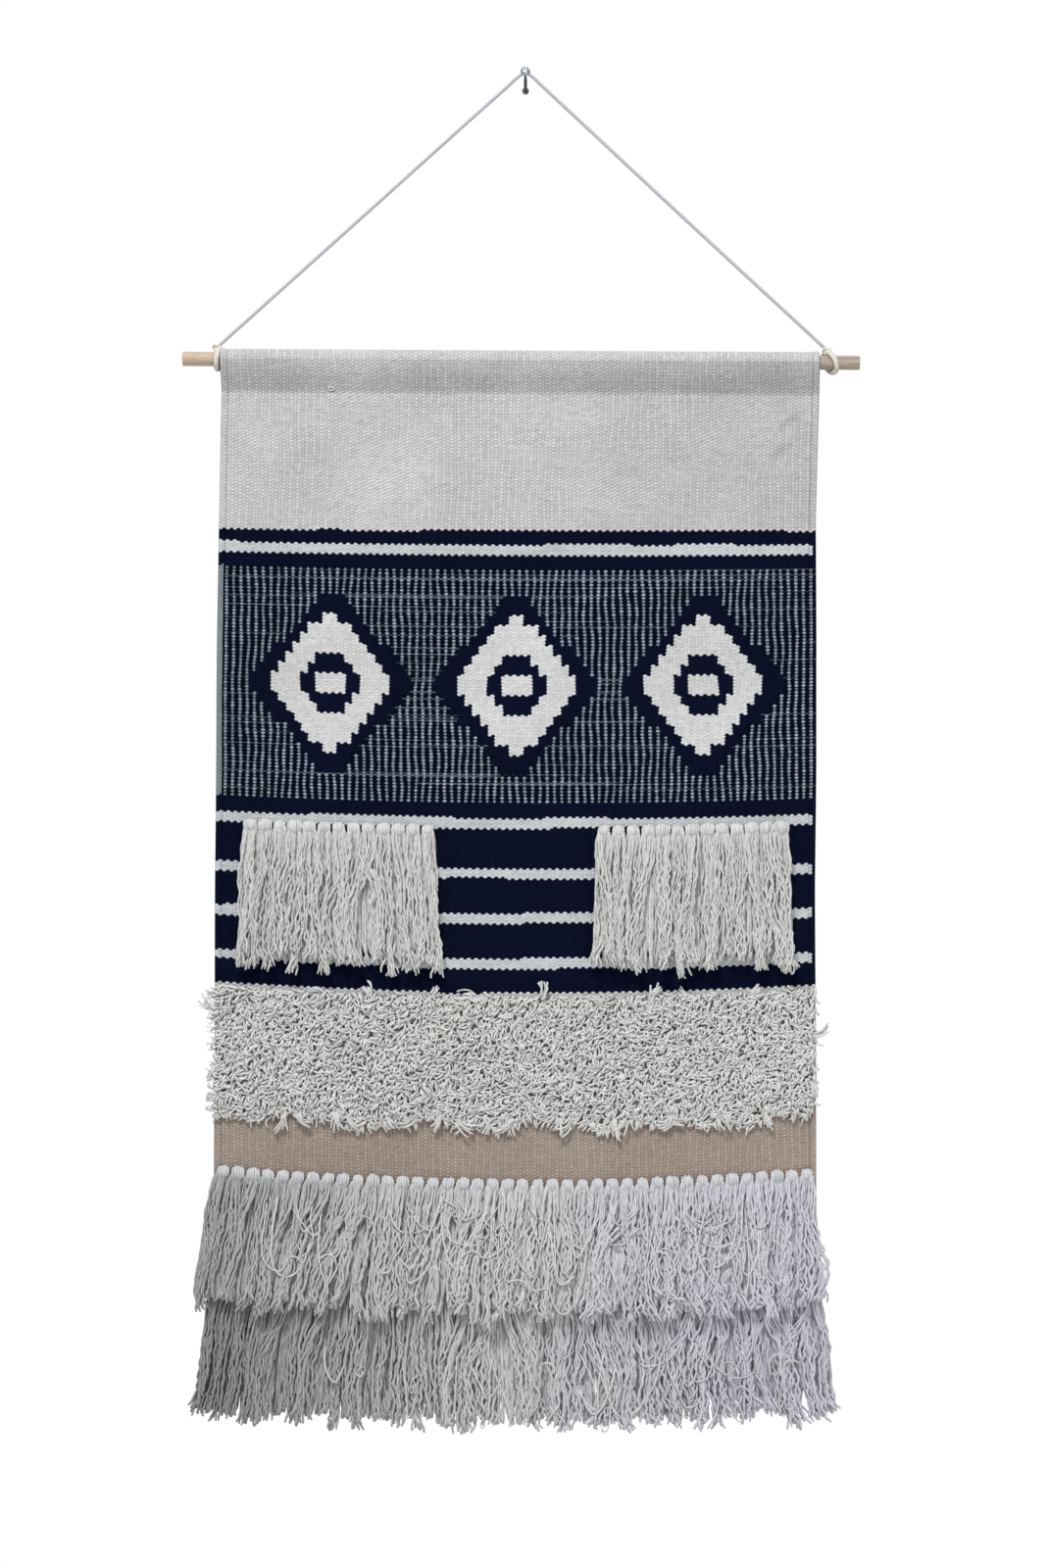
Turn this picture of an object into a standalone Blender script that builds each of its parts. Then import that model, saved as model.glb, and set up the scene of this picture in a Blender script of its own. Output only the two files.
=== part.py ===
"""Woven wall hanging: a cloth with a rod pocket, its dowel, cord, screw and fringes.

Metres. +X is right, +Y goes into the wall and +Z is up. The origin is the centre of the wall
plug's flat back face. A "depth" is measured down from the cloth's top edge, and "out" is the
distance off the cloth's face, towards the room.
"""

import math

import bmesh
import bpy
import numpy as np
from mathutils import Vector

GAP = 0.0003                # between hard pieces that touch
LAYER_GAP = 0.0006          # between the cloth and what is knotted on its face

PLUG_RADIUS = 0.0030
PLUG_THICK = 0.0016
PLUG_CHAMFER = 0.0005

SCREW_TILT = math.radians(23.0)
SHANK_RADIUS = 0.0014
SHANK_LENGTH = 0.0288       # from the wall to the underside of the head
HEAD_RADIUS = 0.0041
HEAD_RIM = 0.0007
HEAD_DOME = 0.0022

DOWEL_RADIUS = 0.006
DOWEL_LENGTH = 0.567
DOWEL_TILT = math.radians(0.33)
DOWEL_CENTRE = Vector((-0.0037, -0.021, -0.2300))

CORD_RADIUS = 0.0015
CORD_STEP = 0.008           # between the tube's rings on its straight runs
CORD_ROUTE = (              # over the screw, from loop to loop
    (-0.2581, -0.0207, -0.2184),
    (-0.1280, -0.0198, -0.1013),
    (-0.0160, -0.0190, -0.0006),
    (-0.0042, -0.0190, 0.0098),
    (-0.0022, -0.0190, 0.0111),
    (0.0000, -0.0190, 0.0116),
    (0.0022, -0.0190, 0.0111),
    (0.0042, -0.0190, 0.0097),
    (0.0160, -0.0190, -0.0012),
    (0.1240, -0.0199, -0.1021),
    (0.2525, -0.0209, -0.2210),
)
LOOP_RADIUS = 0.0020        # the cord is slack there, so it is thicker
LOOP_CLEAR = 0.0005
CORD_LOOPS = (
    # name, middle of the loop along x, slant from the dowel's back to its front
    ("cord_loop_left", -0.2598, -0.0010),
    ("cord_loop_right", 0.2548, 0.0055),
)

CLOTH_THICK = 0.0022
POCKET_CLEAR = 0.0005
SEAM_DEPTH = 0.035          # the seam that closes the rod pocket
FLAP_END = 0.044            # the folded-back end hangs a little below the seam
CLOTH_END = 0.776
SELVEDGES = (
    # depth, left x, right x
    (0.000, -0.2558, 0.2460),
    (0.037, -0.2545, 0.2460),
    (0.140, -0.2567, 0.2430),
    (0.243, -0.2583, 0.2437),
    (0.345, -0.2591, 0.2435),
    (0.448, -0.2600, 0.2425),
    (0.673, -0.2608, 0.2435),
)
BOW = 0.0105                # how far the upper fringe's knots sag in the middle
RIPPLE = 0.0011
RIPPLE_ACROSS = 1.5         # waves from selvedge to selvedge
RIPPLE_DOWN = 0.21          # length of a wave down the cloth
RIPPLE_START = 0.09         # below this depth the ripple has its full height

PATCH_DEPTH = 0.392
PATCH_KNOTS = 13
PATCHES = (
    # name, left end and right end as shares of the cloth's width
    ("fringe_patch_left", 0.046, 0.366),
    ("fringe_patch_right", 0.634, 0.954),
)
PATCH_NOTCH = 0.012
PATCH_ROWS = (
    # down from the knots' top, inner face out, outer face out, spread left, spread right
    (0.000, 0.0000, 0.0045, 0.000, 0.000),
    (0.005, 0.0000, 0.0092, 0.000, 0.000),
    (0.010, 0.0000, 0.0070, 0.000, 0.000),
    (0.040, 0.0000, 0.0100, 0.001, 0.001),
    (0.090, 0.0010, 0.0125, 0.003, 0.003),
    (0.128, 0.0030, 0.0135, 0.005, 0.005),
)

PILE_TOP = 0.530
PILE_BOTTOM = 0.646
PILE_OVERHANG_LEFT = 0.010
PILE_OVERHANG_RIGHT = 0.008
PILE_COLUMNS = 30
PILE_UNEVEN = 0.004
PILE_ROWS = (
    # share of the band's height, outer face out
    (0.00, 0.0018),
    (0.08, 0.0060),
    (0.22, 0.0135),
    (0.45, 0.0160),
    (0.75, 0.0160),
    (0.92, 0.0125),
    (1.00, 0.0060),
)

FRINGE_KNOTS = 40
FRINGE_NOTCH = 0.014
UPPER_DEPTH = 0.683
UPPER_ROWS = (
    # down from the knots' top, inner face out, outer face out, spread left, spread right
    (0.000, 0.0000, 0.0045, 0.000, 0.000),
    (0.005, 0.0000, 0.0092, 0.001, 0.000),
    (0.010, 0.0000, 0.0070, 0.003, 0.000),
    (0.035, 0.0025, 0.0130, 0.008, 0.001),
    (0.074, 0.0104, 0.0195, 0.014, 0.004),
    (0.121, 0.0110, 0.0205, 0.023, 0.009),
)
LOWER_DEPTH = 0.762
LOWER_ROWS = (
    (0.000, 0.0000, 0.0045, 0.000, 0.000),
    (0.005, 0.0000, 0.0088, 0.001, 0.001),
    (0.010, 0.0000, 0.0070, 0.003, 0.003),
    (0.040, 0.0000, 0.0095, 0.009, 0.008),
    (0.085, 0.0000, 0.0120, 0.014, 0.015),
    (0.134, 0.0005, 0.0120, 0.020, 0.021),
)


def material(name, colour, roughness, metallic=0.0):
    """A plain Principled material for one piece."""
    made = bpy.data.materials.new(name)
    made.use_nodes = True
    shader = made.node_tree.nodes["Principled BSDF"]
    shader.inputs["Base Color"].default_value = (*colour, 1.0)
    shader.inputs["Roughness"].default_value = roughness
    shader.inputs["Metallic"].default_value = metallic
    made.diffuse_color = (*colour, 1.0)
    return made


def add_object(name, data, look):
    """Link a mesh or curve into the scene as the piece called name."""
    piece = bpy.data.objects.new(name, data)
    data.materials.append(look)
    bpy.context.collection.objects.link(piece)
    return piece


def add_bmesh(name, shape, look):
    """Turn a bmesh into a piece, smooth but for its sharp edges."""
    mesh = bpy.data.meshes.new(name)
    bmesh.ops.recalc_face_normals(shape, faces=shape.faces)
    shape.to_mesh(mesh)
    shape.free()
    mesh.shade_smooth()
    mesh.set_sharp_from_angle(angle=math.radians(40))
    return add_object(name, mesh, look)


def turned(profile, segments=20):
    """A closed solid turned round Z from (radius, height) pairs that start and end on the axis."""
    shape = bmesh.new()
    points = [shape.verts.new((radius, 0.0, height)) for radius, height in profile]
    edges = [shape.edges.new(pair) for pair in zip(points, points[1:])]
    bmesh.ops.spin(shape, geom=points + edges, cent=(0, 0, 0), axis=(0, 0, 1),
                   angle=2 * math.pi, steps=segments, use_merge=True)
    bmesh.ops.remove_doubles(shape, verts=shape.verts, dist=1e-6)
    return shape


def make_wall_plug():
    """The plug's collar, flat against the wall."""
    profile = (
        (0.0, 0.0),
        (PLUG_RADIUS, 0.0),
        (PLUG_RADIUS, PLUG_THICK - PLUG_CHAMFER),
        (PLUG_RADIUS - PLUG_CHAMFER, PLUG_THICK),
        (0.0, PLUG_THICK),
    )
    plug = add_bmesh("wall_plug", turned(profile), material("plug_plastic", (0.25, 0.26, 0.28), 0.5))
    plug.rotation_euler.x = math.radians(90)


def make_screw():
    """A dome-headed screw, tilted up, with its near end cut parallel to the wall."""
    rim = SHANK_LENGTH + HEAD_RIM
    profile = [(0.0, 0.0), (SHANK_RADIUS, 0.0), (SHANK_RADIUS, SHANK_LENGTH),
               (HEAD_RADIUS, SHANK_LENGTH), (HEAD_RADIUS, rim)]
    for turn in (30, 60, 90):
        angle = math.radians(turn)
        profile.append((HEAD_RADIUS * math.cos(angle), rim + HEAD_DOME * math.sin(angle)))
    profile[-1] = (0.0, rim + HEAD_DOME)
    shape = turned(profile)
    start = (PLUG_THICK + GAP) / math.cos(SCREW_TILT)
    wall_normal = Vector((0.0, math.sin(SCREW_TILT), -math.cos(SCREW_TILT)))
    everything = shape.verts[:] + shape.edges[:] + shape.faces[:]
    bmesh.ops.bisect_plane(shape, geom=everything, plane_co=(0, 0, start), plane_no=wall_normal,
                           clear_outer=True)
    bmesh.ops.holes_fill(shape, edges=[edge for edge in shape.edges if edge.is_boundary])
    screw = add_bmesh("screw", shape, material("screw_steel", (0.62, 0.64, 0.67), 0.25, 1.0))
    screw.rotation_euler.x = math.radians(90) - SCREW_TILT


def make_dowel():
    """The round wooden rod, its ends lightly rounded."""
    shape = bmesh.new()
    bmesh.ops.create_cone(shape, cap_ends=True, segments=48, radius1=DOWEL_RADIUS,
                          radius2=DOWEL_RADIUS, depth=DOWEL_LENGTH)
    dowel = add_bmesh("dowel", shape, material("dowel_wood", (0.55, 0.42, 0.32), 0.6))
    dowel.location = DOWEL_CENTRE
    dowel.rotation_euler.y = math.radians(90) + DOWEL_TILT
    rounding = dowel.modifiers.new("rounded_ends", "BEVEL")
    rounding.width = 0.0006
    rounding.segments = 2
    rounding.limit_method = "ANGLE"
    rounding.angle_limit = math.radians(60)


def dowel_height(x):
    """Height of the dowel's axis above the plug at x."""
    return DOWEL_CENTRE.z - math.tan(DOWEL_TILT) * (x - DOWEL_CENTRE.x)


def smooth_route(route, step):
    """Points along a smooth curve through the route, close together where it turns."""
    points = np.array(route)
    spans = np.linalg.norm(np.diff(points, axis=0), axis=1)
    slopes = np.diff(points, axis=0) / spans[:, None]
    inner = (slopes[1:] * spans[:-1, None] + slopes[:-1] * spans[1:, None])
    inner /= (spans[:-1] + spans[1:])[:, None]
    tangents = np.vstack([slopes[:1], inner, slopes[-1:]])
    curve = [points[0]]
    for index, span in enumerate(spans):
        start, end = points[index], points[index + 1]
        leave, arrive = tangents[index] * span, tangents[index + 1] * span
        pieces = max(3, math.ceil(span / step))
        for t in np.linspace(0, 1, pieces + 1)[1:]:
            curve.append((2 * t**3 - 3 * t**2 + 1) * start + (t**3 - 2 * t**2 + t) * leave
                         + (3 * t**2 - 2 * t**3) * end + (t**3 - t**2) * arrive)
    return curve


def tube(name, points, radius, closed, look):
    """A round tube along the points."""
    curve = bpy.data.curves.new(name, "CURVE")
    curve.dimensions = "3D"
    curve.bevel_depth = radius
    curve.bevel_resolution = 2
    curve.use_fill_caps = not closed
    spline = curve.splines.new("POLY")
    spline.points.add(len(points) - 1)
    for slot, point in zip(spline.points, points):
        slot.co = (*point, 1.0)
    spline.use_cyclic_u = closed
    return add_object(name, curve, look)


def make_cord():
    """The hanging cord and the loop at each of its ends."""
    cotton = material("cord_cotton", (0.60, 0.60, 0.58), 0.9)
    tube("hanging_cord", smooth_route(CORD_ROUTE, CORD_STEP), CORD_RADIUS, False, cotton)
    reach = DOWEL_RADIUS + LOOP_CLEAR + LOOP_RADIUS
    for name, middle, slant in CORD_LOOPS:
        ring = []
        for angle in np.linspace(0, 2 * math.pi, 24, endpoint=False):
            x = middle + slant * math.cos(angle)
            y = DOWEL_CENTRE.y - reach * math.cos(angle)
            ring.append((x, y, dowel_height(x) + reach * math.sin(angle)))
        tube(name, ring, LOOP_RADIUS, True, material(name + "_cotton", (0.60, 0.60, 0.58), 0.9))


TOP = DOWEL_RADIUS + POCKET_CLEAR + CLOTH_THICK     # of the cloth, above the dowel's axis
FACE_OUT = GAP / 2 + CLOTH_THICK                    # from the dowel's axis to the hanging face
DEPTHS, LEFT_EDGE, RIGHT_EDGE = np.array(SELVEDGES).T


def ripple(share, depth):
    """How far the cloth stands out of its plane there."""
    strength = np.clip((depth - SEAM_DEPTH) / (RIPPLE_START - SEAM_DEPTH), 0, 1)
    return RIPPLE * strength * math.sin(2 * math.pi * (RIPPLE_ACROSS * share + depth / RIPPLE_DOWN))


def sag(share, depth):
    """How far a weft row hangs below a straight line between its selvedges."""
    strength = max(0.0, depth - SEAM_DEPTH) / (UPPER_DEPTH - SEAM_DEPTH)
    return BOW * strength * (1 - (2 * share - 1) ** 2)


def across(share, depth, spread_left=0.0, spread_right=0.0):
    """The x of a share of the cloth's width, with its edges moved out by the spreads."""
    left = np.interp(depth, DEPTHS, LEFT_EDGE) - spread_left
    right = np.interp(depth, DEPTHS, RIGHT_EDGE) + spread_right
    return left + share * (right - left)


def waver(place, seed):
    """A smooth uneven value between -1 and 1."""
    return 0.5 * math.sin(9.1 * place + seed) + 0.3 * math.sin(23.7 * place + 2.3 * seed) \
        + 0.2 * math.sin(51.3 * place + 4.1 * seed)


def sheet_solid(name, outer, inner, look):
    """A closed solid between two grids of points, given as rows of equal length."""
    rows, columns = len(outer), len(outer[0])
    points = [point for row in outer for point in row] + [point for row in inner for point in row]
    back = rows * columns
    faces = []
    for row in range(rows - 1):
        for column in range(columns - 1):
            a = row * columns + column
            b, c, d = a + columns, a + columns + 1, a + 1
            faces.append((a, b, c, d))
            faces.append((back + d, back + c, back + b, back + a))
    rim = [column for column in range(columns)]
    rim += [row * columns + columns - 1 for row in range(1, rows)]
    rim += [(rows - 1) * columns + column for column in reversed(range(columns - 1))]
    rim += [row * columns for row in reversed(range(1, rows - 1))]
    for here, there in zip(rim, rim[1:] + rim[:1]):
        faces.append((here, there, back + there, back + here))
    mesh = bpy.data.meshes.new(name)
    mesh.from_pydata(points, [], faces)
    mesh.shade_smooth()
    mesh.set_sharp_from_angle(angle=math.radians(50))
    return add_object(name, mesh, look)


def cloth_section():
    """The cloth's middle line as (out, up) from the dowel's axis: flap, pocket, then face."""
    reach = DOWEL_RADIUS + POCKET_CLEAR + CLOTH_THICK / 2
    beside = (GAP + CLOTH_THICK) / 2
    seam = TOP - SEAM_DEPTH
    turn = math.acos(reach / math.hypot(beside, seam))
    front = math.atan2(seam, beside) + turn
    line = [(-beside, TOP - FLAP_END), (-beside, seam)]
    line += [(reach * math.cos(angle), reach * math.sin(angle))
             for angle in np.linspace(math.pi - front, front, 14)]
    line += [(beside, seam)]
    line += [(beside, TOP - depth) for depth in np.linspace(SEAM_DEPTH, CLOTH_END, 27)[1:]]
    return np.array(line)


def make_cloth():
    """One sheet: it hangs behind the dowel, goes over it and down the front."""
    line = cloth_section()
    run = np.gradient(line, axis=0)
    run /= np.linalg.norm(run, axis=1)[:, None]
    outward = np.stack([-run[:, 1], run[:, 0]], axis=1)
    outward[[1, -28]] = (-1, 0), (1, 0)              # square to the plumb cloth at the seam
    shares = np.linspace(0, 1, 17)

    def side(offset):
        grid = []
        for out, up in line + outward * offset:
            depth = TOP - up
            row = []
            for share in shares:
                x = across(share, depth)
                y = DOWEL_CENTRE.y - out - ripple(share, depth)
                row.append((x, y, dowel_height(x) + up - sag(share, depth)))
            grid.append(row)
        return grid

    look = material("cloth_cotton", (0.50, 0.50, 0.50), 0.95)
    sheet_solid("cloth", side(CLOTH_THICK / 2), side(-CLOTH_THICK / 2), look)


def face_point(x, share, depth, out, drop=0.0):
    """A point off the cloth's face, or drop below what is knotted there."""
    y = DOWEL_CENTRE.y - FACE_OUT - ripple(share, depth + drop) - LAYER_GAP - out
    return (x, y, dowel_height(x) + TOP - depth - sag(share, depth) - drop)


def make_comb(name, depth, ends, knots, rows, notch, seed, look):
    """A knotted fringe: a bumpy head along the cloth, then one tooth to each knot."""
    columns = 2 * knots + 1
    outer, inner = [], []
    for number, (drop, inside, outside, left, right) in enumerate(rows):
        outer_row, inner_row = [], []
        for column in range(columns):
            place = column / (columns - 1)
            share = ends[0] + place * (ends[1] - ends[0])
            x = across(share, depth)
            x += place * right - (1 - place) * left
            between = column % 2 == 0
            down, front = drop, outside
            if number == 0:
                down += 0.0015 if between else 0.0
            elif number < 3:
                front *= 0.72 if between else 1.0
            elif number == len(rows) - 1:
                down -= notch * (0.8 + 0.3 * waver(place, seed + 1)) if between else 0.0
                down += 0.004 * waver(place, seed)
            outer_row.append(face_point(x, share, depth, front, down))
            inner_row.append(face_point(x, share, depth, inside, down))
        outer.append(outer_row)
        inner.append(inner_row)
    sheet_solid(name, outer, inner, look)


def make_pile():
    """The shaggy band as a thick pad, rounded at its edges and a little wider than the cloth."""
    outer, inner = [], []
    for part, outside in PILE_ROWS:
        outer_row, inner_row = [], []
        for column in range(PILE_COLUMNS + 1):
            share = column / PILE_COLUMNS
            top = PILE_TOP + PILE_UNEVEN * waver(share, 1.0)
            bottom = PILE_BOTTOM + PILE_UNEVEN * waver(share, 4.0)
            depth = top + part * (bottom - top)
            x = across(share, depth, PILE_OVERHANG_LEFT, PILE_OVERHANG_RIGHT)
            front = outside * (0.55 if column in (0, PILE_COLUMNS) else 1.0)
            outer_row.append(face_point(x, share, depth, front))
            inner_row.append(face_point(x, share, depth, 0.0))
        outer.append(outer_row)
        inner.append(inner_row)
    sheet_solid("pile_band", outer, inner, material("pile_cotton", (0.48, 0.48, 0.47), 1.0))


def make_fringes():
    """The two patches on the face and the two tiers at the foot."""
    for seed, (name, left, right) in enumerate(PATCHES):
        look = material(name + "_cotton", (0.46, 0.46, 0.46), 1.0)
        make_comb(name, PATCH_DEPTH, (left, right), PATCH_KNOTS, PATCH_ROWS, PATCH_NOTCH, seed, look)
    for name, depth, rows, seed in (("fringe_upper", UPPER_DEPTH, UPPER_ROWS, 5),
                                    ("fringe_lower", LOWER_DEPTH, LOWER_ROWS, 8)):
        look = material(name + "_cotton", (0.42, 0.42, 0.42), 1.0)
        make_comb(name, depth, (0.004, 0.996), FRINGE_KNOTS, rows, FRINGE_NOTCH, seed, look)


for leftover in list(bpy.data.objects):
    bpy.data.objects.remove(leftover)

make_wall_plug()
make_screw()
make_cord()
make_dowel()
make_cloth()
make_pile()
make_fringes()
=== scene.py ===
# %% [markdown]
# # A woven wall hanging
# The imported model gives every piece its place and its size, but its cloth, cord and fringes are plain
# solids. This notebook keeps the dowel and the wall plug and gives them their finish. Every soft piece
# is made again here as what it is: a weft-faced cloth, twisted cord, pile and knotted yarns.
# Lengths are in metres, +X is right, +Y goes into the wall and +Z is up.

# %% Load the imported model
import math
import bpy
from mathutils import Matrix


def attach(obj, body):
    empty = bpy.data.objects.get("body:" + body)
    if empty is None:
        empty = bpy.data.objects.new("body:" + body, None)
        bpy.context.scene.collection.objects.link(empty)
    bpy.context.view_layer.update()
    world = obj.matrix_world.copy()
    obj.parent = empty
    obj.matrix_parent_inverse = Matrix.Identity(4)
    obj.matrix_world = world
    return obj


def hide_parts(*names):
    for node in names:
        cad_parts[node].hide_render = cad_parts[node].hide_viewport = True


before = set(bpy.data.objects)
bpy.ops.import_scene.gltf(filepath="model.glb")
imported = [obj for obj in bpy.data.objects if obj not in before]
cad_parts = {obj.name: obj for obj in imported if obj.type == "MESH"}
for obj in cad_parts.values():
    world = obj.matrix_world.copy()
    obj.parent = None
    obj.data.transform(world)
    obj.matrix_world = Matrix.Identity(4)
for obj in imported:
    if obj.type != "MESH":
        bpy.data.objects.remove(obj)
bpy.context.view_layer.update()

from types import SimpleNamespace

import bpy
import numpy as np
from mathutils import Matrix, Vector

# %% [markdown]
# ## Camera
# The hanging is looked at straight on from 3 m away with a long lens, so its edges stay parallel.
# A long lens far away and a short one close up can frame the same picture, but only the long one
# keeps the dowel's ends and the fringe's foot free of perspective.

# %% Camera
camera = bpy.data.objects.new("camera", bpy.data.cameras.new("camera"))
camera.data.lens = 82.3
camera.location = (-0.0021, -3.025, -0.5846)
camera.rotation_euler = (math.radians(90), 0, 0)
camera.data.clip_end = 30
bpy.context.collection.objects.link(camera)
bpy.context.scene.camera = camera
print("camera", tuple(camera.location), "lens", camera.data.lens, "mm")

# %% [markdown]
# ## Yarn as a mesh
# Cord, fringe and pile are all yarn. Blender could bevel a curve for each, but several thousand curves
# are slow, and a beveled curve has no say in how its skin unfolds. A small function does it instead: it
# takes the middle lines of many yarns at once, carries two directions along each line without letting
# them twist, and puts a ring of points at every step. It also writes two UV maps: "yarn" counts the
# yarns and measures metres along them, and "OFBake" lays each skin flat in its own cell.

# %% Mesh from points and faces
def make_mesh(name, points, faces, maps):
    """A smooth mesh object with its UV maps, which hold one pair for each corner of each face."""
    mesh = bpy.data.meshes.new(name)
    mesh.from_pydata(points, [], faces)
    for title, pairs in maps.items():
        layer = mesh.uv_layers.new(name=title)
        layer.data.foreach_set("uv", np.asarray(pairs, dtype=np.float32).ravel())
    mesh.shade_smooth()
    piece = bpy.data.objects.new(name, mesh)
    bpy.context.collection.objects.link(piece)
    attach(piece, "root")
    triangles = sum(len(face) - 2 for face in faces)
    print(f"{name}: {len(faces)} faces, {triangles} triangles")
    return piece


# %% Directions across a line
NO_YARNS_WAY = (0.31, 0.85, 0.42)       # a direction that no yarn starts in


def unit(vectors):
    """The vectors at length 1."""
    return vectors / np.linalg.norm(vectors, axis=-1, keepdims=True)


def across_frames(lines):
    """Two directions square to each line at each of its points, without twist."""
    run = unit(np.gradient(lines, axis=1))
    one = np.empty_like(run)
    side = np.cross(run[:, 0], NO_YARNS_WAY)
    for step in range(lines.shape[1]):
        side = side - np.sum(side * run[:, step], axis=1, keepdims=True) * run[:, step]
        side = unit(side)
        one[:, step] = side
    return run, one, np.cross(run, one)


# %% Yarns from their middle lines
TIP_SHAPE = 0.6             # how far a closed tip stands out, in radii
TIP_REACH = 0.001           # metres that the "yarn" map counts for a closed tip
SEAM = 0.02                 # keeps that map's fraction clear of the next whole number
CELL_MARGIN = np.array([0.06, 0.08])    # round each skin, as a share of its cell
CELL_SHAPE = 1.7            # columns to rows of cells in the "OFBake" map


def make_yarns(name, lines, radii, sides):
    """Closed yarns. lines is (yarns, steps, 3); radii fits (yarns, steps, sides)."""
    lines = np.asarray(lines, dtype=float)
    count, steps = lines.shape[:2]
    radii = np.broadcast_to(radii, (count, steps, sides))
    run, one, two = across_frames(lines)
    turn = np.arange(sides) * 2 * math.pi / sides
    ring = one[:, :, None] * np.cos(turn)[:, None] + two[:, :, None] * np.sin(turn)[:, None]
    skin = lines[:, :, None] + ring * radii[..., None]
    first = lines[:, 0] - run[:, 0] * radii[:, 0].mean(axis=1, keepdims=True) * TIP_SHAPE
    last = lines[:, -1] + run[:, -1] * radii[:, -1].mean(axis=1, keepdims=True) * TIP_SHAPE
    points = np.concatenate([skin.reshape(count, -1, 3), first[:, None], last[:, None]], axis=1)
    return make_mesh(name, points.reshape(-1, 3).tolist(), *yarn_faces(lines, sides))


def yarn_faces(lines, sides):
    """The faces and UV maps of yarns that all have the same steps and sides."""
    count, steps = lines.shape[:2]
    quads, quad_map, ends, end_map = [], [], [], []
    for step in range(steps - 1):
        for side in range(sides):
            here, there = step * sides, (step + 1) * sides
            after = (side + 1) % sides
            quads.append((here + side, here + after, there + after, there + side))
            quad_map += [(side, step), (side + 1, step), (side + 1, step + 1), (side, step + 1)]
    foot, head = steps * sides, steps * sides + 1
    for side in range(sides):
        after = (side + 1) % sides
        ends.append((foot, after, side))
        end_map += [(side + 0.5, -1), (side + 1, 0), (side, 0)]
        ends.append((head, (steps - 1) * sides + side, (steps - 1) * sides + after))
        end_map += [(side + 0.5, steps), (side, steps - 1), (side + 1, steps - 1)]
    shift = np.arange(count)[:, None, None] * (steps * sides + 2)
    faces = (np.array(quads) + shift).reshape(-1, 4).tolist()
    faces += (np.array(ends) + shift).reshape(-1, 3).tolist()
    spans = np.linalg.norm(np.diff(lines, axis=1), axis=2)
    along = np.concatenate([np.zeros((count, 1)), np.cumsum(spans, axis=1)], axis=1)
    tips = [along[:, -1:] + TIP_REACH, np.full((count, 1), -TIP_REACH)]
    along = np.concatenate([along] + tips, axis=1)
    columns = math.ceil(math.sqrt(count * CELL_SHAPE))
    rows = math.ceil(count / columns)
    cell = np.stack([np.arange(count) % columns, np.arange(count) // columns], axis=1)
    maps = {"yarn": [], "OFBake": []}
    for corners in (np.array(quad_map), np.array(end_map)):
        around = corners[:, 0] / sides
        metres = along[:, corners[:, 1].astype(int)]
        number = np.arange(count)[:, None] + SEAM + (1 - 2 * SEAM) * around
        maps["yarn"].append(np.stack([number, metres], axis=2).reshape(-1, 2))
        share = np.stack([around, (corners[:, 1] + 1) / (steps + 1)], axis=1)
        flat = cell[:, None] + CELL_MARGIN + (1 - 2 * CELL_MARGIN) * share
        maps["OFBake"].append((flat / (columns, rows)).reshape(-1, 2))
    return faces, {title: np.concatenate(parts) for title, parts in maps.items()}


# %% [markdown]
# ## The hanging cord
# One soft cotton cord goes from a loop round the dowel's left end, over the screw and down to a loop
# round its right end. The cloth's weight pulls it straight, so its two runs don't sag. A plain tube
# would do from afar. Here its section has three lobes that turn as they go along, which is what a
# three-strand cord is.

# %% The cord's route
CORD_DIAMETER = 0.0030
CORD_STEP = 0.0009
CORD_SIDES = 12
CORD_ROUTE = np.array([
    (-0.2581, -0.0207, -0.2184), (-0.1280, -0.0198, -0.1013), (-0.0160, -0.0190, -0.0006),
    (-0.0042, -0.0190, 0.0098), (-0.0022, -0.0190, 0.0111), (0.0000, -0.0190, 0.0116),
    (0.0022, -0.0190, 0.0111), (0.0042, -0.0190, 0.0097), (0.0160, -0.0190, -0.0012),
    (0.1240, -0.0199, -0.1021), (0.2525, -0.0209, -0.2210),
])


def smooth_line(route, spacing):
    """Points a spacing apart along one smooth curve through the route."""
    spans = np.linalg.norm(np.diff(route, axis=0), axis=1)
    slopes = np.diff(route, axis=0) / spans[:, None]
    inner = slopes[1:] * spans[:-1, None] + slopes[:-1] * spans[1:, None]
    inner /= (spans[:-1] + spans[1:])[:, None]
    tangents = np.vstack([slopes[:1], inner, slopes[-1:]])
    fine = []
    for index, span in enumerate(spans):
        t = np.linspace(0, 1, 80, endpoint=False)[:, None]
        fine.append((2 * t**3 - 3 * t**2 + 1) * route[index] + (3 * t**2 - 2 * t**3) * route[index + 1]
                    + (t**3 - 2 * t**2 + t) * tangents[index] * span
                    + (t**3 - t**2) * tangents[index + 1] * span)
    fine = np.vstack(fine + [route[-1:]])
    run = np.concatenate([[0], np.cumsum(np.linalg.norm(np.diff(fine, axis=0), axis=1))])
    places = np.linspace(0, run[-1], max(4, round(run[-1] / spacing) + 1))
    return np.stack([np.interp(places, run, fine[:, axis]) for axis in range(3)], axis=1), run[-1]


# %% Twisted cord
def lobed(steps, sides, spacing, radius, lobes=3, pitch=0.008, depth=0.16):
    """Ring radii of a cord whose strands wind round each other once in each pitch."""
    turn = np.arange(sides) * 2 * math.pi / sides
    wind = np.arange(steps)[:, None] * spacing * 2 * math.pi / pitch
    return radius * (1 - depth + depth * np.abs(np.cos(lobes / 2 * (turn - wind))))[None]


cord_line, cord_run = smooth_line(CORD_ROUTE, CORD_STEP)
cord = make_yarns("cord_twisted", cord_line[None],
                  lobed(len(cord_line), CORD_SIDES, CORD_STEP, CORD_DIAMETER / 2), CORD_SIDES)
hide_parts("hanging_cord")
print(f"cord: {cord_run:.3f} m along its middle line")

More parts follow.
